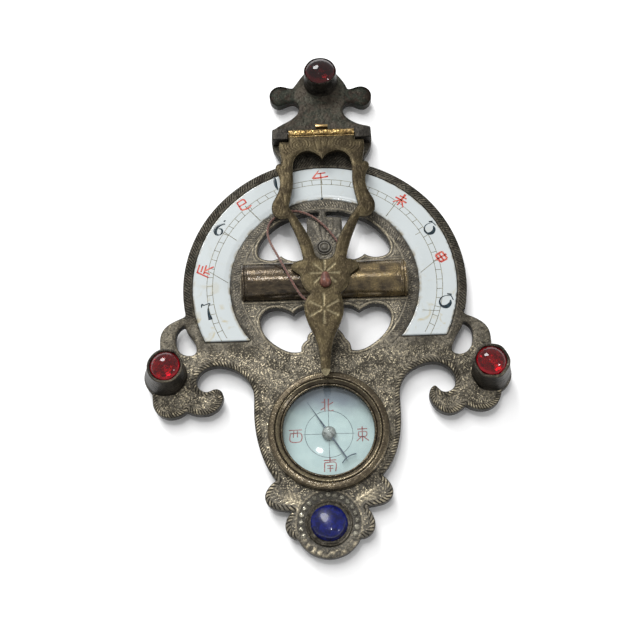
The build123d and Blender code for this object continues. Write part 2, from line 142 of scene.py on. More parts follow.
def grid_faces(rows, columns, wrap_columns=True):
    """Quads of a grid of points kept row by row."""
    last = columns if wrap_columns else columns - 1
    return [
        (r * columns + c, r * columns + (c + 1) % columns,
         (r + 1) * columns + (c + 1) % columns, (r + 1) * columns + c)
        for r in range(rows - 1) for c in range(last)
    ]


def rod_faces(rows, sides):
    """Faces of a closed rod: a wrapped grid with a cap at each end."""
    caps = [tuple(range(sides)), tuple((rows - 1) * sides + k for k in range(sides))]
    return grid_faces(rows, sides) + caps


def eased(profile, reach=0.12, steps=3):
    """A profile with each inner corner rounded over a short reach."""
    points = [np.array(p, float) for p in profile]
    out = [points[0]]
    for before, corner, after in zip(points, points[1:], points[2:]):
        start = corner + (before - corner) * min(0.5, reach / max(np.linalg.norm(before - corner), 1e-9))
        end = corner + (after - corner) * min(0.5, reach / max(np.linalg.norm(after - corner), 1e-9))
        for k in range(steps + 1):
            t = k / steps
            out.append((1 - t) ** 2 * start + 2 * t * (1 - t) * corner + t * t * end)
    out.append(points[-1])
    return out


def lathe(profile, at=(0, 0), steps=128, wobble=None):
    """Points and faces of a turned shape: (radius, height) pairs about an upright axis."""
    angles = np.arange(steps) * 2 * math.pi / steps
    points = []
    for radius, height in profile:
        r = radius + (wobble(angles, height) if wobble and radius > 0.01 else 0 * angles)
        points.append(np.stack([at[0] + r * np.cos(angles), at[1] + r * np.sin(angles),
                                height + 0 * angles], 1))
    return np.concatenate(points), grid_faces(len(profile), steps)


def dome(radius, rise, girdle, steps):
    """The profile of a spherical cap, from its rim at the girdle's height up to its top."""
    sphere = (radius ** 2 + rise ** 2) / (2 * rise)
    reach = [radius * math.sin(t) for t in np.linspace(math.pi / 2, 0.001, steps)]
    return [(r, girdle + rise - sphere + math.sqrt(sphere ** 2 - r ** 2)) for r in reach]


def along_x(points, y, z):
    """A lathe's points with its axis laid along x, at that y and height."""
    return np.stack([points[:, 2], y + points[:, 0], z + points[:, 1]], 1)


def on_arm(points):
    """Points given as across, down from the hinge and up from the arm's middle plane."""
    u, v, w = np.asarray(points, float).T
    c, s = math.cos(ARM_SLOPE), math.sin(ARM_SLOPE)
    return np.stack([HINGE[0] + u, HINGE[1] - v * c + w * s, HINGE[2] + v * s + w * c], 1)


def from_arm(points):
    """The inverse of on_arm."""
    x, y, z = (np.asarray(points, float) - HINGE).T
    c, s = math.cos(ARM_SLOPE), math.sin(ARM_SLOPE)
    return np.stack([x, -y * c + z * s, y * s + z * c], 1)


def node_mesh(name, new_name, voxel=None):
    """A welded copy of a CAD node's mesh as a new object, remeshed evenly if voxel is given."""
    copy = bpy.data.objects.new(new_name, frame["nodes"][name].data.copy())
    bpy.context.scene.collection.objects.link(copy)
    work = bmesh.new()
    work.from_mesh(copy.data)
    bmesh.ops.remove_doubles(work, verts=work.verts, dist=1e-7)
    work.to_mesh(copy.data)
    work.free()
    if voxel:
        remesh = copy.modifiers.new("even", "REMESH")
        remesh.mode = "VOXEL"
        remesh.voxel_size = voxel * MM * 1.0
        apply_modifiers(copy)
    return copy


def apply_modifiers(piece):
    """Replaces a piece's mesh by its evaluated one."""
    graph = bpy.context.evaluated_depsgraph_get()
    mesh = bpy.data.meshes.new_from_object(piece.evaluated_get(graph))
    piece.modifiers.clear()
    piece.data = mesh


def read_points(piece):
    """A piece's vertices in authored millimetres."""
    co = np.empty(len(piece.data.vertices) * 3)
    piece.data.vertices.foreach_get("co", co)
    return co.reshape(-1, 3) / MM - (0, RING_Y, 0)


def write_points(piece, points):
    """Puts authored points back into a piece's vertices."""
    piece.data.vertices.foreach_set("co", to_part(points).ravel())
    piece.data.update()


def vertex_normals(piece):
    """A piece's vertex normals."""
    normals = np.empty(len(piece.data.vertices) * 3)
    piece.data.vertex_normals.foreach_get("vector", normals)
    return normals.reshape(-1, 3)


def paint(piece, name, values):
    """Stores one number for each vertex, or the same one for all, for the material to read."""
    layer = piece.data.attributes.new(name, "FLOAT", "POINT")
    values = np.broadcast_to(values, len(piece.data.vertices))
    layer.data.foreach_set("value", np.ascontiguousarray(values, np.float32))


def front_loops(name, plane):
    """Outlines of the flat face of a CAD node that plane() accepts, as closed runs of 2-D points."""
    work = bmesh.new()
    work.from_mesh(frame["nodes"][name].data)
    bmesh.ops.remove_doubles(work, verts=work.verts, dist=1e-7)
    flat = {f for f in work.faces if plane(f)}
    work.verts.index_update()
    following = {}
    for edge in work.edges:
        inside = [f for f in edge.link_faces if f in flat]
        if len(inside) == 1:
            a, b = edge.verts
            following.setdefault(a.index, []).append(b.index)
            following.setdefault(b.index, []).append(a.index)
    place = {v.index: np.array(v.co) / MM - (0, RING_Y, 0) for v in work.verts}
    work.free()
    loops, seen = [], set()
    for start in following:
        if start in seen:
            continue
        run, here = [], start
        while here is not None:
            seen.add(here)
            run.append(place[here])
            here = next((n for n in following[here] if n not in seen), None)
        loops.append(np.array(run))
    return loops


def edge_field(points, loops, step=0.12):
    """For 2-D points: the distance to the nearest outline, the place along it, and its number."""
    samples = []
    for number, loop in enumerate(loops):
        closed = np.vstack([loop, loop[:1]])
        lengths = np.linalg.norm(np.diff(closed, axis=0), axis=1)
        along = np.concatenate([[0], np.cumsum(lengths)])
        places = np.arange(0, along[-1], step)
        xs = np.interp(places, along, closed[:, 0])
        ys = np.interp(places, along, closed[:, 1])
        samples.append(np.stack([xs, ys, places, 0 * xs + number], 1))
    samples = np.concatenate(samples)
    tree = kdtree.KDTree(len(samples))
    for k, sample in enumerate(samples):
        tree.insert((sample[0], sample[1], 0), k)
    tree.balance()
    found = np.array([tree.find((x, y, 0))[1:] for x, y in points])
    nearest = samples[found[:, 0].astype(int)]
    return found[:, 1], nearest[:, 2], nearest[:, 3].astype(int)


# ---------------------------------------------------------------- materials


class Value:
    """A node's output that can be added, subtracted, multiplied and divided."""

    def __init__(self, shader, socket):
        self.shader, self.socket = shader, socket

    def __add__(self, other):
        return self.shader.calc("ADD", self, other)

    def __sub__(self, other):
        return self.shader.calc("SUBTRACT", self, other)

    def __rsub__(self, other):
        return self.shader.calc("SUBTRACT", other, self)

    def __mul__(self, other):
        return self.shader.calc("MULTIPLY", self, other)

    def __truediv__(self, other):
        return self.shader.calc("DIVIDE", self, other)


class Shader:
    """A Principled material and short ways of wiring nodes into it."""

    def __init__(self, name):
        self.material = bpy.data.materials.new(name)
        self.material.use_nodes = True
        self.nodes = self.material.node_tree.nodes
        self.nodes.clear()
        self.surface = self.add("ShaderNodeBsdfPrincipled")
        self.output = self.add("ShaderNodeOutputMaterial", Surface=self.surface)
        self.place = self.add("ShaderNodeTexCoord").outputs["Object"]

    def add(self, kind, **inputs):
        """A node with its inputs set or linked; an underscore in a name stands for a space."""
        node = self.nodes.new(kind)
        for key, value in inputs.items():
            self.put(node.inputs[key.replace("_", " ")], value)
        return node

    def put(self, socket, value):
        """Links a value, node or socket into an input, or sets the input."""
        if isinstance(value, Value):
            value = value.socket
        if isinstance(value, bpy.types.Node):
            value = value.outputs[0]
        if isinstance(value, bpy.types.NodeSocket):
            self.material.node_tree.links.new(value, socket)
        elif isinstance(value, tuple) and len(value) == 3 and len(socket.default_value) == 4:
            socket.default_value = (*value, 1)
        else:
            socket.default_value = value

    def set(self, **inputs):
        """Sets or links inputs of the Principled node."""
        for key, value in inputs.items():
            self.put(self.surface.inputs[key.replace("_", " ")], value)

    def ring_place(self):
        """Millimetres across and up from the hour ring's centre, and the distance from it."""
        split = self.add("ShaderNodeSeparateXYZ", Vector=self.place).outputs
        x, y = Value(self, split["X"]) / MM, Value(self, split["Y"]) / MM - RING_Y
        return x, y, self.calc("SQRT", x * x + y * y)

    def noise(self, size, detail=3.0, stretch=(1, 1, 1), warp=0.0):
        """Noise with lumps of about that size in millimetres, stretched along the axes."""
        mapping = self.add("ShaderNodeMapping", Vector=self.place, Scale=tuple(1 / s for s in stretch))
        node = self.add("ShaderNodeTexNoise", Vector=mapping, Scale=1 / (size * MM), Detail=detail,
                        Distortion=warp)
        return Value(self, node.outputs["Fac"])

    def cells(self, size):
        """Distance into cells of about that size in millimetres."""
        node = self.add("ShaderNodeTexVoronoi", Vector=self.place, Scale=1 / (size * MM))
        return Value(self, node.outputs["Distance"])

    def attribute(self, name):
        """A number stored on the mesh."""
        node = self.nodes.new("ShaderNodeAttribute")
        node.attribute_name = name
        return Value(self, node.outputs["Fac"])

    def calc(self, operation, a, b=0.0, clamp=False):
        """One arithmetic step."""
        node = self.nodes.new("ShaderNodeMath")
        node.operation = operation
        node.use_clamp = clamp
        self.put(node.inputs[0], a)
        self.put(node.inputs[1], b)
        return Value(self, node.outputs[0])

    def step(self, value, low, high, to_low=0.0, to_high=1.0):
        """Maps low..high smoothly to to_low..to_high."""
        node = self.add("ShaderNodeMapRange", Value=value, From_Min=low, From_Max=high, To_Min=to_low,
                        To_Max=to_high)
        node.interpolation_type = "SMOOTHSTEP"
        return Value(self, node.outputs[0])

    def mix(self, share, a, b):
        """A colour between a and b."""
        node = self.nodes.new("ShaderNodeMix")
        node.data_type = "RGBA"
        self.put(node.inputs["Factor"], share)
        for name, colour in (("A", a), ("B", b)):
            self.put([i for i in node.inputs if i.name == name and i.type == "RGBA"][0], colour)
        return Value(self, [o for o in node.outputs if o.type == "RGBA"][0])

    def bump(self, height, depth, strength=1.0, below=None):
        """A bump whose full height is that many millimetres."""
        node = self.add("ShaderNodeBump", Height=height, Distance=depth * MM, Strength=strength)
        if below is not None:
            self.put(node.inputs["Normal"], below)
        return Value(self, node.outputs[0])


def shade(colour, share):
    """A colour with every channel times share."""
    return tuple(share * c for c in colour)


def strokes(sh, phase, share):
    """A row of cuts along a phase: 1 in the middle of each cut, 0 between cuts."""
    wave = sh.calc("ABSOLUTE", sh.calc("FRACT", phase) - 0.5)
    return sh.step(wave, 0.5 - share / 2, 0.5)


def hatching(sh):
    """The casting's fine cuts, and the bright strands they leave along the borders."""
    x, y, r = sh.ring_place()
    angle = sh.calc("ARCTAN2", y, x)
    waver = sh.noise(2.0, 2.0) * 0.9

    def rope(radius, pitch, lean, low, high, soft=0.2):
        inside = sh.step(r, low, low + soft) * sh.step(r, high, high + soft, 1.0, 0.0)
        return strokes(sh, angle * (radius / pitch) + r * lean + waver, 0.55) * inside

    rim = rope(RING_R, 0.92, 0.85, 39.7, 43.6) * sh.step(y, -11.0, -9.0)
    band = rope(26.0, 0.8, -0.7, 25.0, 27.3) * sh.step(y, -17.5, -16.5) * 0.5
    gap, border = sh.attribute("gap"), sh.attribute("border")
    along = sh.attribute("along") * sh.step(y, -56.2, -56.0, 0.75, 1.15) + gap * 0.75
    edge = border * sh.step(gap, 1.2, 1.6, 1.0, 0.0)
    row = strokes(sh, along + waver * 0.6, 0.7)
    strands = (1.0 - row * 1.6) * edge
    strands = sh.calc("MULTIPLY", strands, sh.step(sh.noise(1.6, 3.0), 0.42, 0.62), clamp=True)
    lines = sh.calc("MAXIMUM", sh.calc("MAXIMUM", rim, band), row * edge)
    return lines, strands * sh.step(gap, 0.1, 0.4)


def cast_bronze(name, dark, mid, gold, spark=0.55, grain=0.36, rough=0.5, bare_gilt=0.0, hatched=False):
    """Patinated casting: dark in its cuts, with specks of gilding left on the raised grain. Pieces may also
    paint shade into tone and highlights into shine.
    """
    sh = Shader(name)
    tone = sh.attribute("tone")
    gilt_and_glint = sh.attribute("gilt_and_glint") + bare_gilt
    fine = sh.noise(grain, 2.0)
    flecks = sh.noise(grain * 0.8, 3.0, warp=0.4)
    pits = sh.noise(0.8, 2.0)
    blotch = sh.noise(4.2, 5.0, warp=0.8)
    skin = sh.mix(sh.step(blotch, 0.38, 0.62), dark, mid)
    skin = sh.mix(sh.step(pits, 0.50, 0.66, 0, 0.75), skin, shade(dark, 0.4))
    # tone darkens the skin: patina in the cuts, and painted shade on the walls and in the deep recesses of
    # the plate
    skin = sh.mix(sh.step(tone, 0.0, 0.5, 0.92, 0.0), skin, shade(dark, 0.12))
    brown, green = (0.017, 0.0115, 0.008), (0.0115, 0.0145, 0.010)
    age = sh.mix(sh.step(sh.noise(3.0, 4.0, warp=1.0), 0.42, 0.58), brown, green)
    skin = sh.mix(sh.attribute("aged"), skin, age)
    skin = sh.mix(sh.attribute("grey"), skin, (0.135, 0.13, 0.118))
    height = sh.bump(pits, 0.16, 0.8, sh.bump(fine, 0.12, 0.9))
    patch = gilt_and_glint * sh.step(sh.noise(3.0, 3.0), 0.38, 0.6, 0.55, 1.1) * sh.step(tone, 0.3, 0.8, 0.1, 1.0)
    # shine: bright raised lines, and on the settings a painted highlight along one side of the lip
    shine = sh.attribute("shine") * sh.step(fine, 0.35, 0.6, 0.3, 1.0)
    if hatched:
        lines, strands = hatching(sh)
        shine = sh.calc("MAXIMUM", shine, strands * 0.7)
        skin = sh.mix(lines * 0.8, skin, shade(dark, 0.12))
        patch = patch * (1.0 - lines)
        height = sh.bump(1.0 - lines, 0.16, 1.0, height)
    raised = flecks * 0.88 + blotch * 0.12
    bright = sh.step(raised, spark - 0.03, spark + 0.07) * patch
    bright = sh.calc("MAXIMUM", bright, shine, clamp=True)
    sh.set(Base_Color=sh.mix(bright, skin, gold), Metallic=sh.step(bright, 0, 1, 0.6, 1.0),
           Roughness=sh.step(bright, 0, 1, rough, 0.3), Specular_IOR_Level=0.25, Normal=height)
    return sh.material


def worked_brass(name, base, worn, dirt, rough=0.34, scratch=(6, 1, 1), hammer=0.0,
                 bright=(0.4, 0.34, 0.2), wax=0.0):
    """Brass that has been handled: scratches, stains, darker cuts and rubbed high places, plus painted shade
    and painted highlights where a piece paints them.
    """
    sh = Shader(name)
    stain = sh.noise(3.2, 5.0, warp=0.6)
    lines = sh.noise(0.4, 3.0, stretch=scratch)
    fine = sh.noise(0.45, 3.0)
    colour = sh.mix(sh.step(stain, 0.36, 0.66), dirt, base)
    colour = sh.mix(sh.step(lines, 0.50, 0.70, 0, 0.6), colour, worn)
    colour = sh.mix(sh.step(fine, 0.52, 0.66, 0, 0.5), colour, dirt)
    # tone darkens: engraved cuts, and painted shade on the arm's sides and on the bezel's side and inner
    # slope
    cut = sh.calc("MULTIPLY", sh.attribute("tone"), 0.85, clamp=True)
    colour = sh.mix(cut, colour, shade(dirt, 0.2))
    # brightened by gilding and rubbed places, and by the bezel's painted highlight
    rubbed = sh.calc("MULTIPLY", sh.attribute("gilt_and_glint"), sh.step(fine, 0.3, 0.6, 1.0, 0.45), clamp=True)
    colour = sh.mix(rubbed, colour, bright)
    height = sh.bump(lines, 0.035, 0.6, sh.bump(fine, 0.07, 0.7))
    if hammer:
        height = sh.bump(sh.noise(hammer, 1.0), 0.35, 1.0, height)
    sh.set(Base_Color=colour, Metallic=0.9, Roughness=sh.step(stain, 0.3, 0.7, rough + 0.12, rough),
           Normal=height, Coat_Weight=wax, Coat_Roughness=0.11, Coat_Normal=height)
    return sh.material


def plain_metal(name, base, rough):
    """Metal with a slight grain and cloudy tarnish."""
    sh = Shader(name)
    fine = sh.noise(0.4, 3.0)
    tarnish = sh.step(sh.noise(2.0, 4.0), 0.35, 0.7, 0, 0.35)
    sh.set(Base_Color=sh.mix(tarnish, base, shade(base, 0.35)), Metallic=0.95,
           Roughness=sh.step(fine, 0.3, 0.7, rough, rough + 0.15), Normal=sh.bump(fine, 0.03, 0.6))
    return sh.material


def fired_enamel(name, base, stain):
    """Glossy fired enamel with faint clouding, age stains, a few specks and browned edges."""
    sh = Shader(name)
    _, y, r = sh.ring_place()
    colour = sh.mix(sh.step(sh.noise(9.0, 2.0), 0.3, 0.7, 0, 0.3), base, shade(base, 0.88))
    marks = sh.step(sh.noise(4.5, 6.0, warp=1.2), 0.56, 0.74) * sh.step(y, 6.0, -14.0, 0.12, 0.85)
    colour = sh.mix(marks, colour, stain)
    inner = sh.step(r, SCALE_IN + 1.1, SCALE_IN + 0.1)
    outer = sh.step(r, SCALE_OUT - 0.8, SCALE_OUT - 0.05)
    rust = sh.calc("MAXIMUM", inner, outer) * sh.step(sh.noise(2.2, 4.0), 0.40, 0.62, 0.08, 0.8)
    colour = sh.mix(rust, colour, (0.20, 0.16, 0.09))
    colour = sh.mix(sh.step(sh.cells(2.6), 0.0, 0.05, 0.55, 0.0), colour, shade(stain, 0.45))
    pool = sh.step(r, SCALE_IN + 2.2, SCALE_IN + 0.2) * sh.step(y, -4.0, 10.0, 0.25, 1.0)
    dent = sh.bump(pool, -0.3, 1.0, sh.bump(sh.noise(3.5, 2.0), 0.05, 0.5))
    sh.set(Base_Color=colour, Roughness=0.2, Coat_Weight=0.6, Coat_Roughness=0.05,
           Normal=dent, Coat_Normal=dent)
    return sh.material


def dial_enamel():
    """The dial's pale enamel, darkened violet-grey towards the crest as a painted reflection."""
    sh = Shader("dial_enamel")
    wander = sh.ring_place()[1] - COMPASS[1] + sh.noise(5.0, 4.0) * 7.0
    colour = sh.mix(sh.step(sh.noise(4.0, 3.0), 0.35, 0.7), (0.47, 0.555, 0.565), (0.54, 0.625, 0.625))
    # painted reflection: violet-grey darkening towards the crest end
    colour = sh.mix(sh.step(wander, 8.0, 15.0, 0.0, 0.85), colour, (0.26, 0.275, 0.345))
    sh.set(Base_Color=colour, Roughness=0.5)
    return sh.material


def ink(name, base, faded, rough=0.45):
    """Brushed colour that has thinned in places."""
    sh = Shader(name)
    colour = sh.mix(sh.step(sh.noise(1.1, 4.0), 0.42, 0.66), base, faded)
    sh.set(Base_Color=colour, Roughness=rough, Specular_IOR_Level=0.4)
    return sh.material


def red_glass(name, colour):
    """Deep red glass."""
    sh = Shader(name)
    shift = sh.mix(sh.step(sh.noise(1.9, 4.0, warp=1.0), 0.42, 0.62), shade(colour, 0.55), colour)
    sh.set(Base_Color=shift, Roughness=0.03, Transmission_Weight=0.92, IOR=1.52,
           Normal=sh.bump(sh.noise(1.6, 3.0), 0.10, 0.4))
    return sh.material


def crinkled_foil():
    """Crumpled foil, tarnished except on a few folds."""
    sh = Shader("foil")
    tarnish = sh.step(sh.noise(1.4, 4.0, warp=0.8), 0.45, 0.6)
    sh.set(Base_Color=sh.mix(tarnish, (0.10, 0.05, 0.04), (0.85, 0.55, 0.45)), Metallic=1.0, Roughness=0.3,
           Normal=sh.bump(sh.cells(1.7), 1.1, 1.0, sh.bump(sh.noise(1.6, 2.0), 0.8)))
    return sh.material


def lapis_stone():
    """Polished blue stone with pale veins, pits and gold flecks."""
    sh = Shader("lapis")
    cloud = sh.step(sh.noise(1.5, 5.0, warp=0.7), 0.38, 0.66)
    colour = sh.mix(cloud, (0.0012, 0.0025, 0.040), (0.003, 0.007, 0.115))
    colour = sh.mix(sh.step(sh.noise(1.0, 5.0, warp=1.5), 0.62, 0.78, 0, 0.4), colour, (0.06, 0.09, 0.28))
    flecks = sh.step(sh.cells(0.7), 0.0, 0.10, 0.8, 0.0) * sh.step(sh.noise(2.5), 0.5, 0.6)
    colour = sh.mix(flecks, colour, (0.35, 0.33, 0.4))
    sh.set(Base_Color=colour, Roughness=0.32, Specular_IOR_Level=0.3, Coat_Weight=0.35, Coat_Roughness=0.06,
           Normal=sh.bump(sh.noise(0.7, 4.0), 0.05, 0.5))
    return sh.material


def clear_glass():
    """Clear glass: see-through, with the shine of its surface."""
    sh = Shader("clear_glass")
    sh.nodes.remove(sh.surface)
    haze = sh.step(sh.noise(5.0, 3.0), 0.4, 0.8, 0.0, 0.03)
    shine = sh.add("ShaderNodeBsdfGlossy", Color=(1, 1, 1), Roughness=0.03)
    through = sh.add("ShaderNodeBsdfTransparent", Color=(0.95, 0.975, 0.97))
    slant = sh.add("ShaderNodeLayerWeight", Blend=0.5).outputs["Facing"]
    share = sh.calc("POWER", slant, 5.0) * 0.9 + 0.035
    both = sh.add("ShaderNodeMixShader", Fac=sh.calc("ADD", share, haze, clamp=True))
    sh.put(both.inputs[1], through)
    sh.put(both.inputs[2], shine)
    sh.put(sh.output.inputs["Surface"], both)
    return sh.material


def fibre(name, dark, light):
    """Waxed thread with fine fibres along it."""
    sh = Shader(name)
    strands = sh.noise(0.35, 4.0)
    sh.set(Base_Color=sh.mix(sh.step(strands, 0.35, 0.7), dark, light), Roughness=0.62, Sheen_Weight=0.3,
           Normal=sh.bump(strands, 0.06, 0.8))
    return sh.material


def old_wood(name, dark, light):
    """Red-brown polished wood."""
    sh = Shader(name)
    grain = sh.noise(0.7, 5.0, stretch=(1, 4, 1))
    sh.set(Base_Color=sh.mix(sh.step(grain, 0.35, 0.7), dark, light), Roughness=0.42, Coat_Weight=0.2,
           Normal=sh.bump(grain, 0.08, 0.7))
    return sh.material


GOLD = (0.56, 0.485, 0.34)
M_PLATE = cast_bronze("dark_bronze", (0.052, 0.046, 0.035), (0.125, 0.112, 0.088), GOLD, grain=0.46,
                      hatched=True)
M_BLACK = cast_bronze("black_bronze", (0.018, 0.016, 0.013), (0.042, 0.037, 0.030), (0.32, 0.27, 0.19),
                      rough=0.40)
M_BEAD = cast_bronze("worn_beads", (0.10, 0.094, 0.075), (0.24, 0.225, 0.18), (0.85, 0.8, 0.64), spark=0.5,
                     bare_gilt=0.35)
M_ARM = worked_brass("olive_brass", (0.088, 0.069, 0.036), (0.165, 0.13, 0.075), (0.041, 0.031, 0.017),
                     rough=0.38, scratch=(1, 2, 1), bright=(0.30, 0.26, 0.16))
M_BARREL = worked_brass("bright_brass", (0.42, 0.28, 0.10), (0.78, 0.58, 0.27), (0.12, 0.075, 0.03),
                        rough=0.24, hammer=0.9)
M_SEAM = worked_brass("solder_brass", (0.5, 0.35, 0.15), (0.75, 0.58, 0.3), (0.3, 0.2, 0.09), rough=0.24)
M_TUBE = worked_brass("tube_brass", (0.115, 0.085, 0.05), (0.19, 0.145, 0.085), (0.045, 0.033, 0.022),
                      rough=0.2, scratch=(5, 1, 1), bright=(0.34, 0.25, 0.115), wax=0.55)
M_BEZEL = worked_brass("bezel_brass", (0.155, 0.125, 0.078), (0.27, 0.22, 0.14), (0.07, 0.054, 0.034),
                       rough=0.22, scratch=(1.5, 1.5, 1), wax=0.3)
M_BOWL = plain_metal("bowl_brass", (0.2, 0.15, 0.08), 0.35)
M_STEEL = plain_metal("steel", (0.4, 0.39, 0.37), 0.3)
M_BLUED = plain_metal("blued_steel", (0.10, 0.12, 0.15), 0.3)
M_HUB = cast_bronze("cap_metal", (0.22, 0.22, 0.21), (0.42, 0.42, 0.41), (0.7, 0.7, 0.67), bare_gilt=0.5)
M_COPPER = plain_metal("copper", (0.5, 0.24, 0.14), 0.4)
M_ENAMEL = fired_enamel("white_enamel", (0.45, 0.485, 0.49), (0.38, 0.33, 0.20))
M_DIAL = dial_enamel()
M_RED_GLASS = red_glass("ruby_glass", (0.64, 0.003, 0.018))
M_DARK_GLASS = red_glass("garnet_glass", (0.12, 0.002, 0.003))
M_FOIL = crinkled_foil()
M_LAPIS = lapis_stone()
M_GLASS = clear_glass()
M_THREAD = fibre("thread", (0.06, 0.024, 0.018), (0.20, 0.095, 0.07))
M_PEG = old_wood("peg_wood", (0.055, 0.016, 0.010), (0.16, 0.055, 0.032))
M_RED_INK = ink("red_ink", (0.37, 0.032, 0.022), (0.50, 0.14, 0.10))
M_BLACK_INK = ink("black_ink", (0.006, 0.014, 0.02), (0.02, 0.04, 0.05), rough=0.2)
M_LINE_INK = ink("line_ink", (0.11, 0.10, 0.06), (0.25, 0.24, 0.17))
M_DIAL_LINE = ink("dial_line_ink", (0.12, 0.13, 0.15), (0.26, 0.29, 0.31))
M_FADED_INK = ink("faded_red_ink", (0.33, 0.10, 0.10), (0.42, 0.24, 0.24))


# ---------------------------------------------------------------- camera, floor and light


def add_camera():
    """The camera, nearly overhead and a little towards the compass end."""
    right = Vector((0.9993, -0.02495, -0.02792))
    up = Vector((0.03362, 0.92598, 0.37608))
    back = Vector((0.01647, -0.37675, 0.92617))
    data = bpy.data.cameras.new("camera")
    data.lens = 56.25
    data.sensor_width = 36
    data.clip_start = 0.01
    camera = bpy.data.objects.new("camera", data)
    bpy.context.scene.collection.objects.link(camera)
    turn = Matrix((right, up, back)).transposed().to_4x4()
    camera.matrix_world = Matrix.Translation(Vector((3.2, RING_Y - 121.79, 275.68)) * MM) @ turn
    bpy.context.scene.camera = camera


def add_light(name, place, target, size, power, roll=0.0, glints=True):
    """A soft oval lamp at place, in metres, that looks at target; without glints it isn't mirrored."""
    data = bpy.data.lights.new(name, "AREA")
    data.shape = "ELLIPSE"
    data.size, data.size_y = size
    data.energy = power
    lamp = bpy.data.objects.new(name, data)
    lamp.location = place
    lamp.visible_glossy = glints
    aim = (Vector(target) - Vector(place)).to_track_quat("-Z", "Y").to_matrix()
    lamp.rotation_euler = (aim @ Matrix.Rotation(math.radians(roll), 3, "Z")).to_euler()
    bpy.context.scene.collection.objects.link(lamp)


def add_stage():
    """A plain white floor, an even pale surround and three soft lamps."""
    sh = Shader("floor")
    sh.set(Base_Color=(0.93, 0.93, 0.93), Roughness=1.0, Specular_IOR_Level=0.0)
    mesh = bpy.data.meshes.new("floor")
    half = 3.0
    corners = [(-half, -half, 0), (half, -half, 0), (half, half, 0), (-half, half, 0)]
    mesh.from_pydata(corners, [], [(0, 1, 2, 3)])
    floor = bpy.data.objects.new("floor", mesh)
    floor.location.z = -0.00003
    mesh.materials.append(sh.material)
    bpy.context.scene.collection.objects.link(floor)
    world = bpy.data.worlds.new("surround")
    world.use_nodes = True
    world.node_tree.nodes["Background"].inputs["Color"].default_value = (1, 1, 1, 1)
    world.node_tree.nodes["Background"].inputs["Strength"].default_value = 0.50
    bpy.context.scene.world = world
    add_light("key", (-0.27, 0.56, 0.57), (0, 0, 0), (0.36, 0.36), 4.2)
    add_light("sky", (-0.12, 0.20, 0.80), (0, 0, 0), (0.50, 0.50), 3.6, glints=False)
    add_light("top", (-0.066, 0.035, 0.75), (0, 0, 0), (0.034, 0.018), 0.7, 92)
    add_light("side", (0.55, -0.25, 0.40), (0, 0, 0), (0.10, 0.10), 0.5)
    bpy.context.scene.view_settings.view_transform = "Standard"


# ---------------------------------------------------------------- thread

# The thread's route: the plate, round the arm's left knob, over the tube and under the arm
THREAD_ROUTE = [
    (5.0, 11.6, 6.3), (3.9, 13.6, 6.35), (2.3, 16.1, 6.4), (-0.2, 19.3, 6.4), (-3.7, 22.3, 6.4),
    (-8.1, 24.1, 6.4), (-12.7, 23.3, 6.4), (-16.0, 20.6, 6.4), (-16.9, 16.9, 6.7),
    (-16.1, 13.2, 7.8), (-14.8, 9.8, 9.6), (-13.3, 6.2, 11.5), (-11.6, 2.4, 12.35),
    (-9.8, -1.2, 12.2), (-8.1, -4.4, 11.5), (-6.3, -7.2, 11.3), (-3.6, -8.8, 11.3),
    (-1.1, -7.8, 11.3), (0.1, -5.6, 11.3), (0.3, -3.6, 11.3),
]
THREAD_D = 0.8


def smooth_line(route):
    """The points of the NURBS spline through a route, in metres of the part's frame."""
    curve = bpy.data.curves.new("route", "CURVE")
    curve.dimensions = "3D"
    curve.resolution_u = 12
    spline = curve.splines.new("NURBS")
    spline.points.add(len(route) - 1)
    for point, place in zip(spline.points, to_part(route)):
        point.co = (*place, 1)
    spline.order_u = 3
    spline.use_endpoint_u = True
    carrier = bpy.data.objects.new("route", curve)
    bpy.context.scene.collection.objects.link(carrier)
    graph = bpy.context.evaluated_depsgraph_get()
    mesh = bpy.data.meshes.new_from_object(carrier.evaluated_get(graph))
    line = np.array([v.co for v in mesh.vertices])
    bpy.data.objects.remove(carrier)
    return line


def make_thread():
    """Two plies twisted together along the route, bending where the arm lifts it."""
    line = smooth_line(THREAD_ROUTE)
    gaps = np.linalg.norm(np.diff(line, axis=0), axis=1)
    along = np.concatenate([[0], np.cumsum(gaps)])
    count = int(along[-1] / (0.14 * MM))
    places = np.linspace(0, along[-1], count)
    centre = np.stack([np.interp(places, along, line[:, k]) for k in range(3)], 1) / MM
    tangent = np.gradient(centre, axis=0)
    tangent /= np.linalg.norm(tangent, axis=1)[:, None]
    across = np.cross(tangent, (0, 0, 1))
    across /= np.linalg.norm(across, axis=1)[:, None]
    over = np.cross(across, tangent)
    twist = places / MM * 2 * math.pi / 2.6
    around = np.arange(14) * 2 * math.pi / 14
    shape = []
    for k in range(count):
        lobes = 1 + 0.13 * np.cos(2 * (around - twist[k])) + 0.03 * np.sin(7 * around + 1.7 * k)
        radius = THREAD_D / 2 * lobes / 1.16
        shape.append(centre[k] + radius[:, None] * (np.cos(around)[:, None] * across[k]
                                                   + np.sin(around)[:, None] * over[k]))
    points = np.concatenate(shape) - (0, RING_Y, 0)
    faces = rod_faces(count, len(around))
    thread = make_piece("thread", points, faces, M_THREAD, body=None, replaces=["gnomon_thread"])
    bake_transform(thread)
    tuple(to_part(THREAD_ROUTE[0]))


# ---------------------------------------------------------------- the casting


def cuts(phase, share=0.3):
    """A row of cuts: 1 in the middle of each cut, 0 on the strands between."""
    wave = np.abs(phase - np.floor(phase) - 0.5) * 2
    return smoothstep(1 - share, 1.0, wave)


def line_at(distance, middle, width):
    """One engraved line: 1 at that distance, 0 outside its width."""
    return 1 - smoothstep(0, width / 2, np.abs(distance - middle))


def wavy(x, y, seed, size):
    """A smooth wandering value, -1 to 1, from a few crossed waves."""
    rng = np.random.default_rng(seed)
    total = 0 * x
    for _ in range(6):
        angle, phase, scale = rng.uniform(0, math.tau), rng.uniform(0, math.tau), rng.uniform(0.6, 1.6)
        onward = x * math.cos(angle) + y * math.sin(angle)
        total = total + np.sin(onward * math.tau / (size * scale) + phase)
    return total / 6


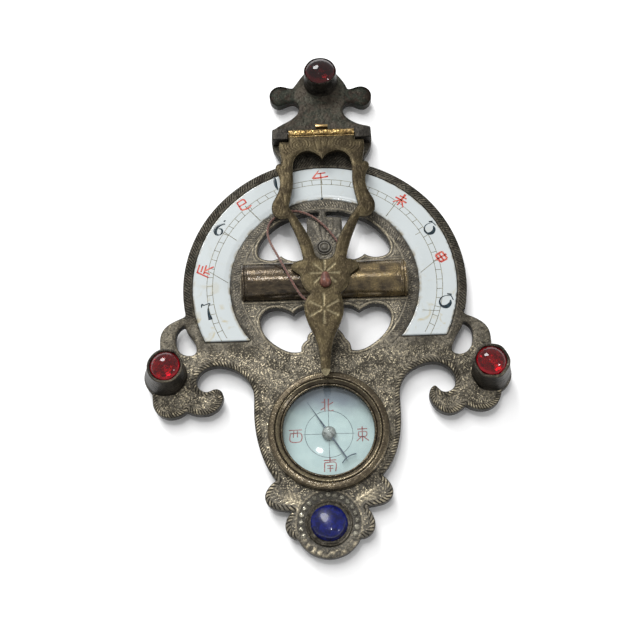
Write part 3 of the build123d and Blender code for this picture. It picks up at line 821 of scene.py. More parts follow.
def plate_cuts(x, y, gap, kind):
    """How deeply each point of the front is cut, 0 to 1, its gilding, and its bright raised lines."""
    r = np.hypot(x, y)
    cut = 0 * x
    outer = kind == 0
    below = smoothstep(-19, -22, y)

    # ring: a line on each side of the inner band
    for radius in (24.4, 27.6):
        cut = np.maximum(cut, line_at(r, radius, 0.5) * (1 - below))

    # a sunk line between two raised ones round the openings
    openings = (kind > 0) & (r < 25)
    cut = np.maximum(cut, openings * line_at(gap, 1.05, 0.5) * 0.8)
    shine = openings * (0.8 * line_at(gap, 0.55, 0.5) + 0.5 * line_at(gap, 1.5, 0.4))
    shine = shine * ~((np.abs(x - 0.4) < 9.5) & (y > 8)) + 0.4 * line_at(r, 24.8, 0.45) * (1 - below)

    # one line inside the rope border of the arms, the body, the leaves and the lobes
    cut = np.maximum(cut, outer * below * line_at(gap, 1.8, 0.4) * 0.6)

    # deep gaps under the inner band, cut so deep that their tone drops to the darkest, a painted shade; and
    # plain sunk slabs beside the shell
    for left, right in ((-6.6, -0.9), (1.2, 9.2)):
        middle, half = (left + right) / 2, (right - left) / 2
        bow = 23.5 - 0.35 * ((x - middle) / half) ** 2 - 0.02 * (x - 0.3) ** 2
        slot = 1 - smoothstep(half - 0.5, half, np.abs(x - middle))
        slot = slot * (1 - smoothstep(0.45, 0.7, np.abs(y - bow)))
        cut = np.maximum(cut, 2.4 * slot * (r < 24.3))
    slabs = (y > 17.2) & (y < 22.9) & (((x > -5.6) & (x < -2.6)) | ((x > 3.2) & (x < 7.2)))
    cut = np.where(slabs & (cut < 1), 0.62 + 0.1 * wavy(x, y, 5, 1.4), cut)

    # shell: petals that fan out over the rosette, and a fringe under it
    fx, fy = x - 0.3, y - 11.5
    fan_r, fan = np.hypot(fx, fy), np.arctan2(fx, fy)
    shell = (fan_r > 2.1) & (fan_r < 8.4 - 2.2 * np.abs(fan)) & (np.abs(fan) < 1.9)
    cut = np.where(shell, cuts(fan / 0.30 + 0.5, 0.55) * smoothstep(2.0, 3.2, fan_r) * 0.8, cut)
    tongue = (np.abs(fx) < 3.2) & (fy < -2.1) & (fy > -4.6)
    cut = np.where(tongue, cuts(np.hypot(fx, fy + 2) / 0.8 + fx * 0.4, 0.5) * 0.7, cut)

    # crest: faint wandering lines
    crest = smoothstep(44, 47, y)
    swirl = cuts(wavy(x, y, 11, 9.0) * 4.6 + np.abs(x) * 0.3, 0.4)
    cut = np.maximum(cut, crest * swirl * 0.34 * smoothstep(0.5, 1.2, gap))

    # pitted ground inside the borders of the lower body
    ground = below * smoothstep(2.0, 2.6, np.where(outer, gap, 9))
    pits = smoothstep(0.2, 0.6, wavy(x, y, 23, 1.2) + 0.6 * wavy(x, y, 29, 0.7))
    cut = np.maximum(cut, ground * pits * 0.35)

    # leaves: a raised midrib with side veins
    for (ax, ay), (bx, by) in (((-8.6, -65.4), (-15.2, -62.6)), ((7.9, -64.6), (14.6, -60.6))):
        length = math.hypot(bx - ax, by - ay)
        cx, cy = (bx - ax) / length, (by - ay) / length
        t, across = (x - ax) * cx + (y - ay) * cy, (y - ay) * cx - (x - ax) * cy
        side = np.abs(across)
        leaf = (t > -1.0) & (t < length + 0.5) & (side < 3.6) & (gap > 1.7) & (kind == 0) & (y < -58)
        veins = cuts(t / 1.35 - side * 0.62, 0.5)
        rib = 1 - smoothstep(0.15, 0.42, side)
        cut = np.where(leaf, np.maximum(veins * (1 - rib), line_at(side, 0.5, 0.3)) * 0.9, cut)
        strength = 1 - smoothstep(0.35 * length, 0.9 * length, t + 0.6 * side)
        shine = np.where(leaf, np.maximum(rib, 0.85 * (1 - veins) * (side < 2.8)) * strength, shine)

    # round the blue stone: a sunk track for the beads inside a fine rim, nuggets along the lower edge
    bx, by = x - LAPIS[0], y - LAPIS[1]
    stone_r, stone_a = np.hypot(bx, by), np.arctan2(by, bx)
    lower = smoothstep(-2.6, -3.6, by)
    track = smoothstep(6.4, 6.6, stone_r) * (1 - smoothstep(8.6, 8.8, stone_r))
    depth = 0.75 * (1 - lower) + 0.5 * lower * (0.5 + wavy(x, y, 53, 1.7))
    cut = np.where(stone_r < 8.8, track * depth, cut)
    shine = np.where(stone_r < 9.3, 0.55 * line_at(stone_r, 9.0, 0.5) * (1 - lower), shine)
    chips = (stone_r > 7.5) & (gap > 0.2) & (by < -4.2)
    parted = cuts(stone_a * 5.0 + 0.5 * wavy(bx, by, 51, 3.0), 0.3)
    cut = np.where(chips, parted, cut)
    shine = np.where(chips, 0.75 * (1 - parted) * smoothstep(-0.2, 0.3, wavy(bx, by, 57, 2.2)), shine)

    band = smoothstep(24.9, 25.3, r) * (1 - smoothstep(27.2, 27.5, r))
    gilt_and_glint = 0.22 + 0.56 * below * smoothstep(-16, -24, y) + 0.14 * band
    gilt_and_glint = gilt_and_glint + (r < 24.5) * (1 - below) * (0.12 + 0.45 * smoothstep(-3, -8, y))
    gilt_and_glint = gilt_and_glint * (1 - 0.7 * crest) * (1 - 0.5 * smoothstep(39, 40, r) * (y > -10))
    warm = np.exp(-((np.abs(x) - 9.5) ** 2 + (y + 62.5) ** 2) / 5.0)
    warm = warm + 0.35 * np.exp(-((x + 38) ** 2 + (y + 35) ** 2) / 30)
    warm = warm + 0.3 * np.exp(-((x + 24) ** 2 + (y + 24) ** 2) / 30)
    crest_lines = cuts(wavy(x, y, 11, 7.0) * 6.0 + np.abs(x) * 0.3 + 0.5, 0.35)
    shine = np.maximum(shine, 0.07 * crest * crest_lines * smoothstep(0.5, 1.2, gap))
    gilt_and_glint = gilt_and_glint * (1 - 0.7 * ((stone_r < 9.6) & (by < -3.5)))
    return cut, gilt_and_glint + 0.5 * warm, shine


def make_casting():
    """The plate, remeshed as a casting, with its ornament cut into the front."""
    plate = node_mesh("main_plate", "plate", voxel=0.24)

    def on_front(face):
        return face.normal.z > 0.99 and abs(face.calc_center_median().z / MM - FRONT) < 0.01
    loops = front_loops("main_plate", on_front)
    loops.sort(key=lambda loop: -np.ptp(loop[:, 0]) * np.ptp(loop[:, 1]))
    points = read_points(plate)
    normals = vertex_normals(plate)
    front = (points[:, 2] > FRONT - 0.3) & (normals[:, 2] > 0.3)
    x, y = points[front, 0], points[front, 1]
    gap, along, kind = edge_field(np.stack([x, y], 1), loops)
    cut, gilt_and_glint, lit = plate_cuts(x, y, gap, kind)
    ears = smoothstep(9.5, 11, np.abs(x - HINGE[0])) * smoothstep(60, 61.5, y)
    lobe = np.where(ears > 0, ears * 0.55 * (1 - smoothstep(0, 2.4, gap)) ** 1.5, 0)
    worn = 0.14 * (1 - smoothstep(0, 0.7, gap)) + 0.03 * wavy(x, y, 3, 3.0)
    points[front, 2] -= 0.22 * cut + worn + lobe
    # Off the front face, on the walls of the plate and its openings, a low tone paints shade.
    tone = np.full(len(points), 0.12)
    tone[front] = np.clip(1.0 - cut, 0, 1)
    fill = np.full(len(points), 0.06)
    near_stone = np.hypot(x - LAPIS[0], y - LAPIS[1]) < 8.9
    edge = (kind == 0) * smoothstep(-19, -22, y) * ~near_stone * (y > LAPIS[1] - 4.5)
    fill[front] = gilt_and_glint * (1 - 0.7 * edge * (gap < 1.7))
    # Deep upward faces below the front get a low tone: painted shade in the recesses.
    deep = (points[:, 2] < FRONT - 0.6) & (points[:, 2] > 3.0) & (normals[:, 2] > 0.5)
    tone[deep] = 0.15
    write_points(plate, points)
    far = np.full(len(points), 9.0)
    border, run, shine = np.zeros(len(points)), np.zeros(len(points)), np.zeros(len(points))
    far[front], run[front] = gap, along
    border[front] = edge
    shine[front] = lit
    # aged darkens the crest, the ear lobes and the upper outer rim, and a little everything more than 0.4 mm
    # below the front face
    aged = 0.72 * smoothstep(45, 48, points[:, 1]) + 0.15 * (points[:, 2] < FRONT - 0.4)
    aged = aged + 0.25 * smoothstep(60, 62, points[:, 1]) * (np.abs(points[:, 0]) > 8)
    far_out = np.hypot(points[:, 0], points[:, 1])
    aged = np.maximum(aged, 0.45 * smoothstep(39.4, 40, far_out) * smoothstep(-14, -8, points[:, 1]))
    grey = np.zeros(len(points))
    grey[front] = 0.2 * (np.hypot(x, y) < 27.8) * (1 - smoothstep(-12, -24, y))
    grey[front] += 0.3 * smoothstep(-56, -66, y)
    layers = {"tone": tone, "gilt_and_glint": fill, "gap": far, "along": run, "border": border, "aged": aged,
              "grey": grey, "shine": shine}
    for name, values in layers.items():
        paint(plate, name, values)
    finish_piece(plate, M_PLATE, replaces=["main_plate"])


def make_beads():
    """The uneven beads in the track round the blue stone."""
    points, faces = [], []
    rng = np.random.default_rng(4)
    for k, turn in enumerate(np.radians(np.linspace(-24, 206, 17))):
        size = 0.74 * rng.uniform(0.85, 1.1)
        ring_r = 7.65 + rng.uniform(-0.12, 0.12)
        centre = (LAPIS[0] + ring_r * math.cos(turn), LAPIS[1] + ring_r * math.sin(turn))
        profile = [(size, FRONT - 0.4), (size * 0.97, FRONT - 0.1)]
        profile += [(size * math.cos(t) ** 0.8, FRONT - 0.1 + 0.42 * math.sin(t))
                    for t in (0.4, 0.8, 1.15, 1.4)]
        profile.append((0.001, FRONT + 0.32))
        bead, quads = lathe(profile, centre, 14, ripple(60 + k, 0.8, 0.07))
        faces += [tuple(len(points) + i for i in quad) for quad in quads]
        points += list(bead)
    beads = make_piece("bead_ring", points, faces, M_BEAD)
    paint(beads, "tone", 0.95)
    left = smoothstep(-5.0, -7.0, read_points(beads)[:, 0] - LAPIS[0])
    paint(beads, "gilt_and_glint", left * 0.8)


# ---------------------------------------------------------------- turned and fitted parts


def ripple(seed, size, depth):
    """A small uneven radius for a turned part."""
    rng = np.random.default_rng(seed)
    waves = [(k, rng.uniform(0, math.tau), rng.uniform(0.4, 1.0) / k) for k in range(2, 9)]

    def wobble(angles, height):
        total = sum(s * np.sin(k * angles + p + height / size) for k, p, s in waves)
        return depth * total
    return wobble


def make_tube():
    """The polished cross tube, with turned lines near each closed end."""
    half, r = TUBE_HALF, TUBE_R
    end = [(0.001, -half), (r - 0.5, -half), (r - 0.12, -half + 0.12), (r - 0.02, -half + 0.45),
           (r - 0.02, -half + 0.9), (r - 0.28, -half + 0.98), (r - 0.28, -half + 1.12),
           (r - 0.02, -half + 1.2), (r - 0.02, -half + 1.55), (r - 0.16, -half + 1.62),
           (r - 0.02, -half + 1.72)]
    middle = [(r - 0.02 - 0.05 * math.exp(-((x - 9) / 4) ** 2), x)
              for x in np.linspace(-half + 2.2, half - 2.2, 60)]
    profile = end + middle + [(radius, -height) for radius, height in end[::-1]]
    points, faces = lathe(profile, steps=160)
    tube = make_piece("cross_tube", along_x(points, TUBE_Y, TUBE_R), faces, M_TUBE,
                      replaces=["sight_tube", "tube_cap_left", "tube_cap_right"])
    place = read_points(tube)
    near = smoothstep(14.5, 12, np.abs(place[:, 0])) * smoothstep(6.6, 8, np.abs(place[:, 0]))
    leaves = cuts(np.arctan2(place[:, 1] - TUBE_Y, place[:, 2] - TUBE_R) * 3.2
                  + wavy(place[:, 0], place[:, 1], 8, 4.0), 0.4)
    paint(tube, "tone", near * leaves * 0.8)
    patches = 0.6 + 0.9 * wavy(place[:, 0], place[:, 1], 14, 4.0)
    paint(tube, "gilt_and_glint", 0.9 * smoothstep(-2, 12, place[:, 0]) * patches)


def make_bezel():
    """The turned bezel: a flat outer band, a thin groove and a slope down to the glass."""
    base = FRONT + 0.02
    profile = [(12.75, 0.3), (15.1, 0.3), (15.1, 0.0), (16.85, 0.0), (17.02, 0.12), (17.0, 0.9),
               (17.0, 1.55), (16.8, 2.05), (16.4, 2.28), (15.4, 2.40), (15.12, 2.34), (15.0, 2.05),
               (14.88, 2.05), (14.78, 2.34), (14.6, 2.46), (14.35, 2.38), (13.7, 1.95), (13.46, 1.72),
               (13.46, 0.92), (12.75, 0.88), (12.75, 0.3)]
    profile = [(radius, base + height) for radius, height in eased(profile, 0.08)]
    points, faces = lathe(profile, COMPASS, 220, ripple(2, 3.0, 0.012))
    bezel = make_piece("bezel", points, faces, M_BEZEL, replaces=["compass_bezel"])
    place = read_points(bezel)
    r = np.hypot(place[:, 0] - COMPASS[0], place[:, 1] - COMPASS[1])
    side = (place[:, 2] < FRONT + 1.2) & (r > 16)
    crestward = (place[:, 1] - COMPASS[1]) / r
    shadow = 0.5 * smoothstep(0.1, 0.9, crestward) * (r < 14.9)
    glint = smoothstep(0.35, 0.95, -0.62 * (place[:, 0] - COMPASS[0]) / r - 0.78 * crestward)
    # Painted shade: the outer side and the inner slope down to the glass, deepest on the crest side as a
    # painted shadow; the groove line is darkened too.
    paint(bezel, "tone", 0.6 * side + 0.95 * line_at(r, 14.94, 0.34) + 0.7 * (r < 13.6) + shadow)
    # Bright rubbed rings on the ridges, plus a painted highlight (glint) on the lower-left inner slope.
    rubbed = 0.35 * line_at(r, 14.6, 0.5) + 0.15 * line_at(r, 16.6, 0.5)
    paint(bezel, "gilt_and_glint", rubbed + glint * line_at(r, 14.3, 0.45))


def make_retaining_ring():
    """The wire that holds the compass glass down."""
    wire_r = 0.3
    profile = [(13.1 + wire_r * math.cos(t), FRONT + 1.7 + wire_r * math.sin(t))
               for t in np.linspace(0, math.tau, 17)]
    points, faces = lathe(profile, COMPASS, 200, ripple(6, 2.0, 0.02))
    ring = make_piece("glass_ring", points, faces, M_BEZEL, replaces=["glass_retaining_ring"])
    paint(ring, "tone", 0.25)


def make_glass():
    """The domed compass glass."""
    low, high = node_box("compass_glass")
    thick = 0.5
    radius, rise, edge = (high[0] - low[0]) / 2, high[2] - low[2] - thick, low[2]
    top = dome(radius, rise, edge + thick, 40)
    under = [(r, height - thick) for r, height in top[::-1]]
    points, faces = lathe(top + under, COMPASS, 160)
    make_piece("glass_dome", points, faces, M_GLASS, replaces=["compass_glass"])


# Foot radius, rim radius and how far the rim sits from the foot's centre
SETTINGS = {
    "left": (6.15, 5.15, (1.0, 0.3)),
    "right": (5.65, 5.2, (-0.8, 1.0)),
    "top": (5.55, 5.15, (0.0, 0.2)),
}


def make_stones():
    """Tall leaning settings with a burnished lip, crumpled foil and domed red glass."""
    for name, seed in (("left", 1), ("right", 2), ("top", 3)):
        low, high = node_box("collet_" + name)
        glass_low, glass_high = node_box("red_glass_" + name)
        centre = centre_of(glass_low, glass_high)
        foot_r, rim_r, lean = SETTINGS[name]
        height = high[2] - low[2]
        stone_r = (glass_high[0] - glass_low[0]) / 2
        rough = ripple(seed, 1.5, 0.05)
        facet = 0.12 if name == "right" else 0.04

        def wobble(angles, level, facet=facet, rough=rough):
            return facet * np.cos(6 * angles + 0.4) + rough(angles, level) - 0.02
        rim_gilt = 0.1 if name == "top" else 0.5
        outside = [(foot_r - 0.1, 0.0), (foot_r - 0.05, 0.25), (foot_r - 0.2, 0.5), (foot_r - 0.3, 1.0)]
        outside += [(foot_r - 0.3 + (rim_r - foot_r + 0.2) * t + 0.05 * math.sin(7 * t),
                     1.0 + (height - 1.9) * t) for t in np.linspace(0.1, 1, 9)]
        lip = [(rim_r - 0.06, height - 0.6), (rim_r - 0.06, height - 0.25), (rim_r - 0.26, height - 0.04),
               (stone_r + 0.3, height - 0.06), (stone_r + 0.08, height - 0.35),
               (stone_r + 0.03, height - 3.1)]
        profile = [(r, FRONT + h) for r, h in outside + lip]
        points, faces = lathe(profile, centre, 96, wobble)
        outer = np.hypot(*(points[:, :2] - centre).T) > stone_r + 0.5
        drop = np.clip(1 - (points[:, 2] - FRONT) / height, 0, 1) * outer
        points[:, :2] -= drop[:, None] * np.array(lean)
        setting = make_piece("setting_" + name, points, faces, M_BLACK,
                             replaces=["collet_" + name])
        level = read_points(setting)[:, 2]
        rim = smoothstep(FRONT + height - 0.45, FRONT + height - 0.05, level)
        paint(setting, "tone", 0.45 + 0.4 * rim)
        offset = read_points(setting)[:, :2] - centre
        # Painted highlight: a bright line on the lip, on one side only, stored in shine.
        near = smoothstep(0.2, 0.9, (0.5 * offset[:, 0] - 0.86 * offset[:, 1]) / rim_r)
        painted_lip_highlight = line_at(np.hypot(*offset.T), rim_r - 0.25, 0.5) * rim * near
        paint(setting, "gilt_and_glint", 0.08 + rim_gilt * 0.5 * rim)
        paint(setting, "shine", rim_gilt * painted_lip_highlight)

        rise = 2.08
        girdle = glass_high[2] - rise
        body = [(0.001, glass_low[2] + 0.02), (stone_r - 0.12, glass_low[2] + 0.02),
                (stone_r, glass_low[2] + 0.2)]
        profile = [(r - 0.02 if r > 1 else r, h) for r, h in body + dome(stone_r, rise, girdle, 28)]
        points, faces = lathe(profile, centre, 96)
        material = M_DARK_GLASS if name == "top" else M_RED_GLASS
        make_piece("ruby_" + name, points, faces, material, replaces=["red_glass_" + name])
        rings = np.linspace(stone_r - 0.05, 0.001, 26)
        rng = np.random.default_rng(seed)
        spots = rng.uniform(-3.6, 3.6, (14, 2))
        points, faces = lathe([(r, glass_low[2]) for r in rings], centre, 72)
        offset = points[:, :2] - centre
        fold = sum(np.cos(np.linalg.norm(offset - spot, axis=1) * 2.1) for spot in spots) / 14
        points[:, 2] += 0.15 * fold - 0.17
        make_piece("crumpled_foil_" + name, points, faces, M_FOIL, replaces=["foil_" + name])


def make_blue_stone():
    """The lapis cabochon, a little out of round, on its lumpy dished seat."""
    girdle = FRONT + 0.1
    rise = lapis_high[2] - girdle
    profile = [(LAPIS_R - 0.1, FRONT - 0.58), (LAPIS_R, girdle - 0.25)] + dome(LAPIS_R, rise, girdle, 36)

    def unround(angles, height):
        return -0.08 + 0.1 * np.cos(2 * angles + 0.8) + 0.05 * np.cos(5 * angles)
    points, faces = lathe(profile, LAPIS, 110, unround)
    skew = np.clip((points[:, 2] - girdle) / rise, 0, 1)[:, None] ** 1.4
    points[:, :2] += skew * np.array((0.6, -2.0))
    make_piece("blue_stone", points, faces, M_LAPIS, replaces=["lapis_cabochon"])
    rings = [(6.28, FRONT - 0.9), (6.28, FRONT + 0.05), (6.15, FRONT + 0.3), (5.95, FRONT + 0.34),
             (5.75, FRONT + 0.1), (5.5, FRONT - 0.08), (5.2, FRONT - 0.12), (4.95, FRONT - 0.1),
             (4.6, FRONT - 0.5)]
    points, faces = lathe(rings, LAPIS, 120, ripple(9, 0.8, 0.05))
    lumps = wavy(points[:, 0], points[:, 1], 31, 1.6) * 0.10
    points[:, 2] += np.where(points[:, 2] > FRONT - 0.3, lumps, 0)
    seat = make_piece("stone_seat", points, faces, M_PLATE, replaces=["lapis_seat"])
    paint(seat, "tone", 0.55 + 3.0 * lumps[: len(seat.data.vertices)])
    paint(seat, "gilt_and_glint", 0.25)


def make_rosette():
    """The turned boss at the foot of the shell."""
    centre = centre_of(*node_box("anchor_rosette"))
    rings = [(2.45, -0.2), (2.43, 0.25), (2.3, 0.38), (2.1, 0.34), (1.95, 0.12), (1.75, 0.12), (1.65, 0.5),
             (1.45, 0.6), (1.25, 0.5), (1.15, 0.25), (0.9, 0.25), (0.75, 0.62), (0.35, 0.8), (0.001, 0.82)]
    points, faces = lathe([(r, FRONT + h) for r, h in rings], centre, 64, ripple(12, 0.7, 0.03))
    boss = make_piece("rosette", points, faces, M_PLATE, replaces=["anchor_rosette"])
    level = read_points(boss)[:, 2] - FRONT
    paint(boss, "tone", smoothstep(0.12, 0.4, level) * 0.9)
    paint(boss, "gilt_and_glint", smoothstep(0.3, 0.6, level) * 0.25)
    paint(boss, "grey", smoothstep(0.2, 0.5, level) * 0.8)


# ---------------------------------------------------------------- painted marks


def brush(strokes, level, proud=0.03):
    """Raised paint strokes: each stroke is a run of (x, y, width) points."""
    points, faces = [], []
    for stroke in strokes:
        run = np.array(stroke, float)
        direction = np.gradient(run[:, :2], axis=0)
        direction /= np.maximum(np.linalg.norm(direction, axis=1), 1e-9)[:, None]
        side = np.stack([-direction[:, 1], direction[:, 0]], 1)
        first = len(points)
        for offset, lift in ((-0.5, 0.0), (-0.36, proud), (0.36, proud), (0.5, 0.0)):
            flat = run[:, :2] + side * (run[:, 2:] * offset)
            points += [(px, py, level + lift) for px, py in flat]
        n = len(run)
        for strip in range(3):
            for k in range(n - 1):
                a = first + strip * n + k
                faces.append((a, a + 1, a + n + 1, a + n))
        for k in (0, n - 1):
            faces.append(tuple(first + strip * n + k for strip in range(4)))
    return points, faces


def softened(stroke, steps=5):
    """A stroke's corner points joined by a smooth curve."""
    run = np.array(stroke, float)
    if len(run) < 3:
        t = np.linspace(0, 1, steps * 2)[:, None]
        return run[0] * (1 - t) + run[-1] * t
    padded = np.vstack([2 * run[0] - run[1], run, 2 * run[-1] - run[-2]])
    out = []
    for a, b, c, d in zip(padded, padded[1:], padded[2:], padded[3:]):
        for t in np.linspace(0, 1, steps, endpoint=False):
            out.append(0.5 * (2 * b + (c - a) * t + (2 * a - 5 * b + 4 * c - d) * t ** 2
                              + (3 * b - a - 3 * c + d) * t ** 3))
    out.append(run[-1])
    out = np.array(out)
    out[:, 2] = np.maximum(out[:, 2], 0.08)
    return out


def placed(strokes, at, turn=0.0, size=1.0):
    """Strokes turned by degrees, scaled and moved."""
    c, s = math.cos(math.radians(turn)), math.sin(math.radians(turn))
    out = []
    for stroke in strokes:
        run = softened(stroke)
        x, y, width = run.T
        out.append(np.stack([at[0] + size * (x * c - y * s), at[1] + size * (x * s + y * c),
                             size * width], 1))
    return out


def arc(radius, first, last, width, at=(0, 0), steps=60):
    """An arc stroke between two angles in degrees."""
    turn = np.radians(np.linspace(first, last, steps))
    return np.stack([at[0] + radius * np.cos(turn), at[1] + radius * np.sin(turn), width + 0 * turn], 1)


def spoke(angle, inner, outer, width, lean=0.0):
    """A straight mark across the scale."""
    a, b = math.radians(angle + lean), math.radians(angle)
    return np.array([(inner * math.cos(a), inner * math.sin(a), width),
                     (outer * math.cos(b), outer * math.sin(b), width)])


# Digits in their own upright frame, as runs of (x, y, width)
DIGITS = {
    "1": [[(-0.2, 2.5, 0.3), (0.0, 1.4, 1.0), (0.15, -0.6, 0.95), (0.7, -2.4, 0.2)]],
    "6": [[(1.5, 2.2, 0.5), (0.4, 1.7, 0.65), (-0.7, 0.7, 1.15), (-1.0, -0.6, 1.25), (-0.4, -1.9, 0.8),
           (0.8, -1.9, 0.4), (1.3, -0.9, 0.7), (0.9, 0.1, 0.55), (-0.1, 0.2, 0.3)],
          [(0.9, 3.3, 0.75), (1.25, 3.1, 0.75)]],
    "7": [[(-1.7, 1.2, 0.25), (-1.5, 2.2, 0.5), (-0.9, 1.9, 0.4), (0.8, 2.3, 0.35), (0.3, 1.0, 0.3),
           (0.3, -0.4, 0.7), (0.8, -2.9, 1.3)]],
    "5": [[(-0.9, 2.0, 0.5), (0.1, 2.3, 0.35), (1.7, 1.5, 0.3)], [(-0.9, 2.0, 0.4), (0.2, 2.7, 0.4)],
          [(0.3, 2.2, 0.2), (-1.1, 1.0, 0.25), (-1.6, -0.3, 0.45), (-1.1, -1.6, 0.55), (0.2, -2.2, 0.8),
           (1.4, -1.4, 1.25), (1.6, 0.0, 1.0), (1.0, 1.0, 0.4)]],
}

# Generic brushed hour signs, upright at noon
HOUR_SIGNS = {
    "noon": [[(-0.6, 1.6, 0.2), (-1.5, 0.3, 0.3), (-2.6, -1.2, 0.35)], [(-1.1, 0.45, 0.3), (1.5, 0.75, 0.3)],
             [(-2.4, -1.15, 0.5), (0.0, -0.95, 0.35), (2.3, -0.55, 0.4)],
             [(-0.1, 0.8, 0.35), (0.1, -1.4, 0.3)]],
    "box": [[(-1.3, 1.5, 0.3), (0.7, 1.6, 0.35), (1.0, 0.2, 0.3)], [(-1.3, 1.5, 0.3), (-1.2, -1.2, 0.35)],
            [(-1.3, 0.2, 0.3), (1.0, 0.3, 0.3)], [(-1.2, -1.2, 0.35), (0.6, -1.5, 0.35), (1.9, -1.1, 0.25)]],
    "steps": [[(-1.2, 1.6, 0.3), (1.3, 1.8, 0.3)], [(-1.0, 1.5, 0.35), (-1.5, -1.8, 0.25)],
              [(-0.6, 0.7, 0.3), (1.2, 0.8, 0.3)], [(-0.9, -0.2, 0.35), (1.7, 0.0, 0.3)],
              [(-0.3, -0.2, 0.3), (-0.5, -1.8, 0.25)], [(0.2, -0.3, 0.35), (1.9, -2.0, 0.3)]],
    "tree": [[(-1.1, 0.9, 0.3), (1.0, 1.1, 0.3)], [(-1.8, -0.1, 0.35), (1.7, 0.1, 0.35)],
             [(0.0, 2.1, 0.5), (0.0, -1.9, 0.3)], [(-0.1, 0.0, 0.35), (-1.6, -1.7, 0.2)],
             [(0.1, 0.0, 0.35), (1.7, -1.6, 0.25)]],
    "cross": [[(-1.4, 1.2, 0.45), (1.4, 1.3, 0.45)], [(-1.4, 1.2, 0.4), (-1.3, -1.1, 0.45)],
              [(1.4, 1.2, 0.45), (1.3, -1.1, 0.45)], [(-1.3, 0.0, 0.4), (1.3, 0.05, 0.4)],
              [(-1.3, -1.1, 0.45), (1.3, -1.1, 0.45)], [(0.0, 1.9, 0.4), (0.0, -2.0, 0.3)]],
}


def mark_scale():
    """Hour lines, quarter ticks, signs and figures on the enamel."""
    start = math.degrees(math.asin(SCALE_END / 34.0)) - 0.6
    lines = []
    first, last = start + 1.5, 180 - start - 1.5
    for radius in (33.2, 34.9):
        lines.append(arc(radius, first, last, 0.18, steps=240))
    for k in range(1, 48):
        angle = first + (last - first) * k / 48
        lines.append(spoke(angle, 33.2, 34.9, 0.18, lean=0.4 * math.sin(k)))
    noon = np.array([(-0.2, 36.6, 0.3), (0.0, 28.35, 0.22)])
    lines.append(noon)
    lines += [spoke(*mark) for mark in (
        (131.5, 28.6, 35.6, 0.24), (149, 30.2, 35.0, 0.2, 1.2), (172, 28.6, 34.6, 0.18, 6.0),
        (49, 28.8, 35.4, 0.22, -1.0), (11, 28.7, 34.6, 0.2, -6.5), (28, 31.5, 33.2, 0.18),
        (-17, 30.0, 35.0, 0.16, -2.0))]
    points, faces = brush(lines, ENAMEL_Z)
    make_piece("scale_lines", points, faces, M_LINE_INK)
    red = []
    for sign, *where in (("noon", (-0.2, 36.6)), ("box", (-24.1, 27.0), 28, 1.1),
                         ("steps", (-35.8, 5.2), 70, 1.12), ("tree", (24.2, 26.8), -38, 1.12),
                         ("cross", (35.0, 7.1), -60, 1.0)):
        red += placed(HOUR_SIGNS[sign], *where)
    for stroke in red:
        stroke[:, 2] *= 1.45
    points, faces = brush(red, ENAMEL_Z, 0.035)
    make_piece("hour_signs", points, faces, M_RED_INK)
    black = []
    for digit, *where in (("1", (-14.3, 34.0), 5), ("6", (-31.6, 19.0), -14, 0.95), ("7", (-34.6, -7.8), 4),
                          ("5", (32.2, 17.0), -22, 0.92), ("5", (35.4, -7.0), -40, 0.98)):
        black += placed(DIGITS[digit], *where)
    black.append(np.array([(-0.35, 28.3, 0.7), (0.35, 28.3, 0.7)]))
    points, faces = brush(black, ENAMEL_Z, 0.04)
    make_piece("hour_figures", points, faces, M_BLACK_INK)


# Generic compass signs, one for each quarter, as brushed strokes
COMPASS_SIGNS = [
    [[(-1.5, 1.0, 0.3), (-0.5, 1.0, 0.25)], [(-0.6, 1.9, 0.35), (-0.6, -1.6, 0.3)],
     [(-1.7, -1.2, 0.3), (-0.5, -0.4, 0.3)],
     [(0.4, 1.9, 0.35), (0.4, -1.2, 0.3), (1.7, -1.3, 0.35)], [(1.6, 0.9, 0.3), (0.4, 0.2, 0.25)]],
    [[(-1.3, 1.3, 0.3), (1.3, 1.4, 0.3)],
     [(-1.0, 0.6, 0.3), (1.0, 0.6, 0.3), (0.9, -0.6, 0.3), (-0.9, -0.6, 0.3), (-1.0, 0.6, 0.3)],
     [(0.0, 2.0, 0.35), (0.0, -2.0, 0.3)], [(-0.1, -0.6, 0.3), (-1.6, -1.9, 0.25)],
     [(0.1, -0.6, 0.3), (1.6, -1.8, 0.3)]],
    [[(-1.6, 1.2, 0.3), (1.6, 1.3, 0.3)], [(0.0, 2.0, 0.3), (0.0, 0.7, 0.3)],
     [(-1.4, 0.6, 0.3), (-1.5, -1.8, 0.3)],
     [(-1.4, 0.6, 0.3), (1.4, 0.6, 0.3), (1.4, -1.7, 0.3)], [(-0.8, -0.2, 0.25), (0.8, -0.2, 0.25)],
     [(-0.8, -0.9, 0.25), (0.8, -0.9, 0.25)], [(0.0, -0.1, 0.3), (0.0, -1.8, 0.3)]],
    [[(-1.7, 1.5, 0.3), (1.7, 1.6, 0.3)],
     [(-1.4, 0.6, 0.3), (1.4, 0.6, 0.3), (1.3, -1.5, 0.3), (-1.3, -1.5, 0.3), (-1.4, 0.6, 0.3)],
     [(-0.4, 1.5, 0.25), (-0.6, -0.5, 0.25)], [(0.5, 1.5, 0.25), (0.5, -0.4, 0.25)]],
]


def mark_dial():
    """The compass rose: a circle, four lines and a sign for each quarter."""
    lines = [arc(6.75, 0, 360, 0.18, COMPASS, 120)]
    for k in range(4):
        a = math.pi / 2 - k * math.pi / 2
        ends = [(COMPASS[0] + r * math.cos(a), COMPASS[1] + r * math.sin(a), 0.16) for r in (1.2, 7.2)]
        lines.append(np.array(ends))
    points, faces = brush(lines, DIAL_Z)
    make_piece("dial_lines", points, faces, M_DIAL_LINE)
    signs = []
    for (x, y), strokes in zip([(-0.3, 8.3), (9.4, -0.3), (0.1, -8.9), (-9.4, -0.3)], COMPASS_SIGNS):
        signs += placed(strokes, (COMPASS[0] + x, COMPASS[1] + y), 0, 1.08)
    points, faces = brush(signs, DIAL_Z)
    make_piece("dial_signs", points, faces, M_FADED_INK)


# ---------------------------------------------------------------- gnomon arm and hinge


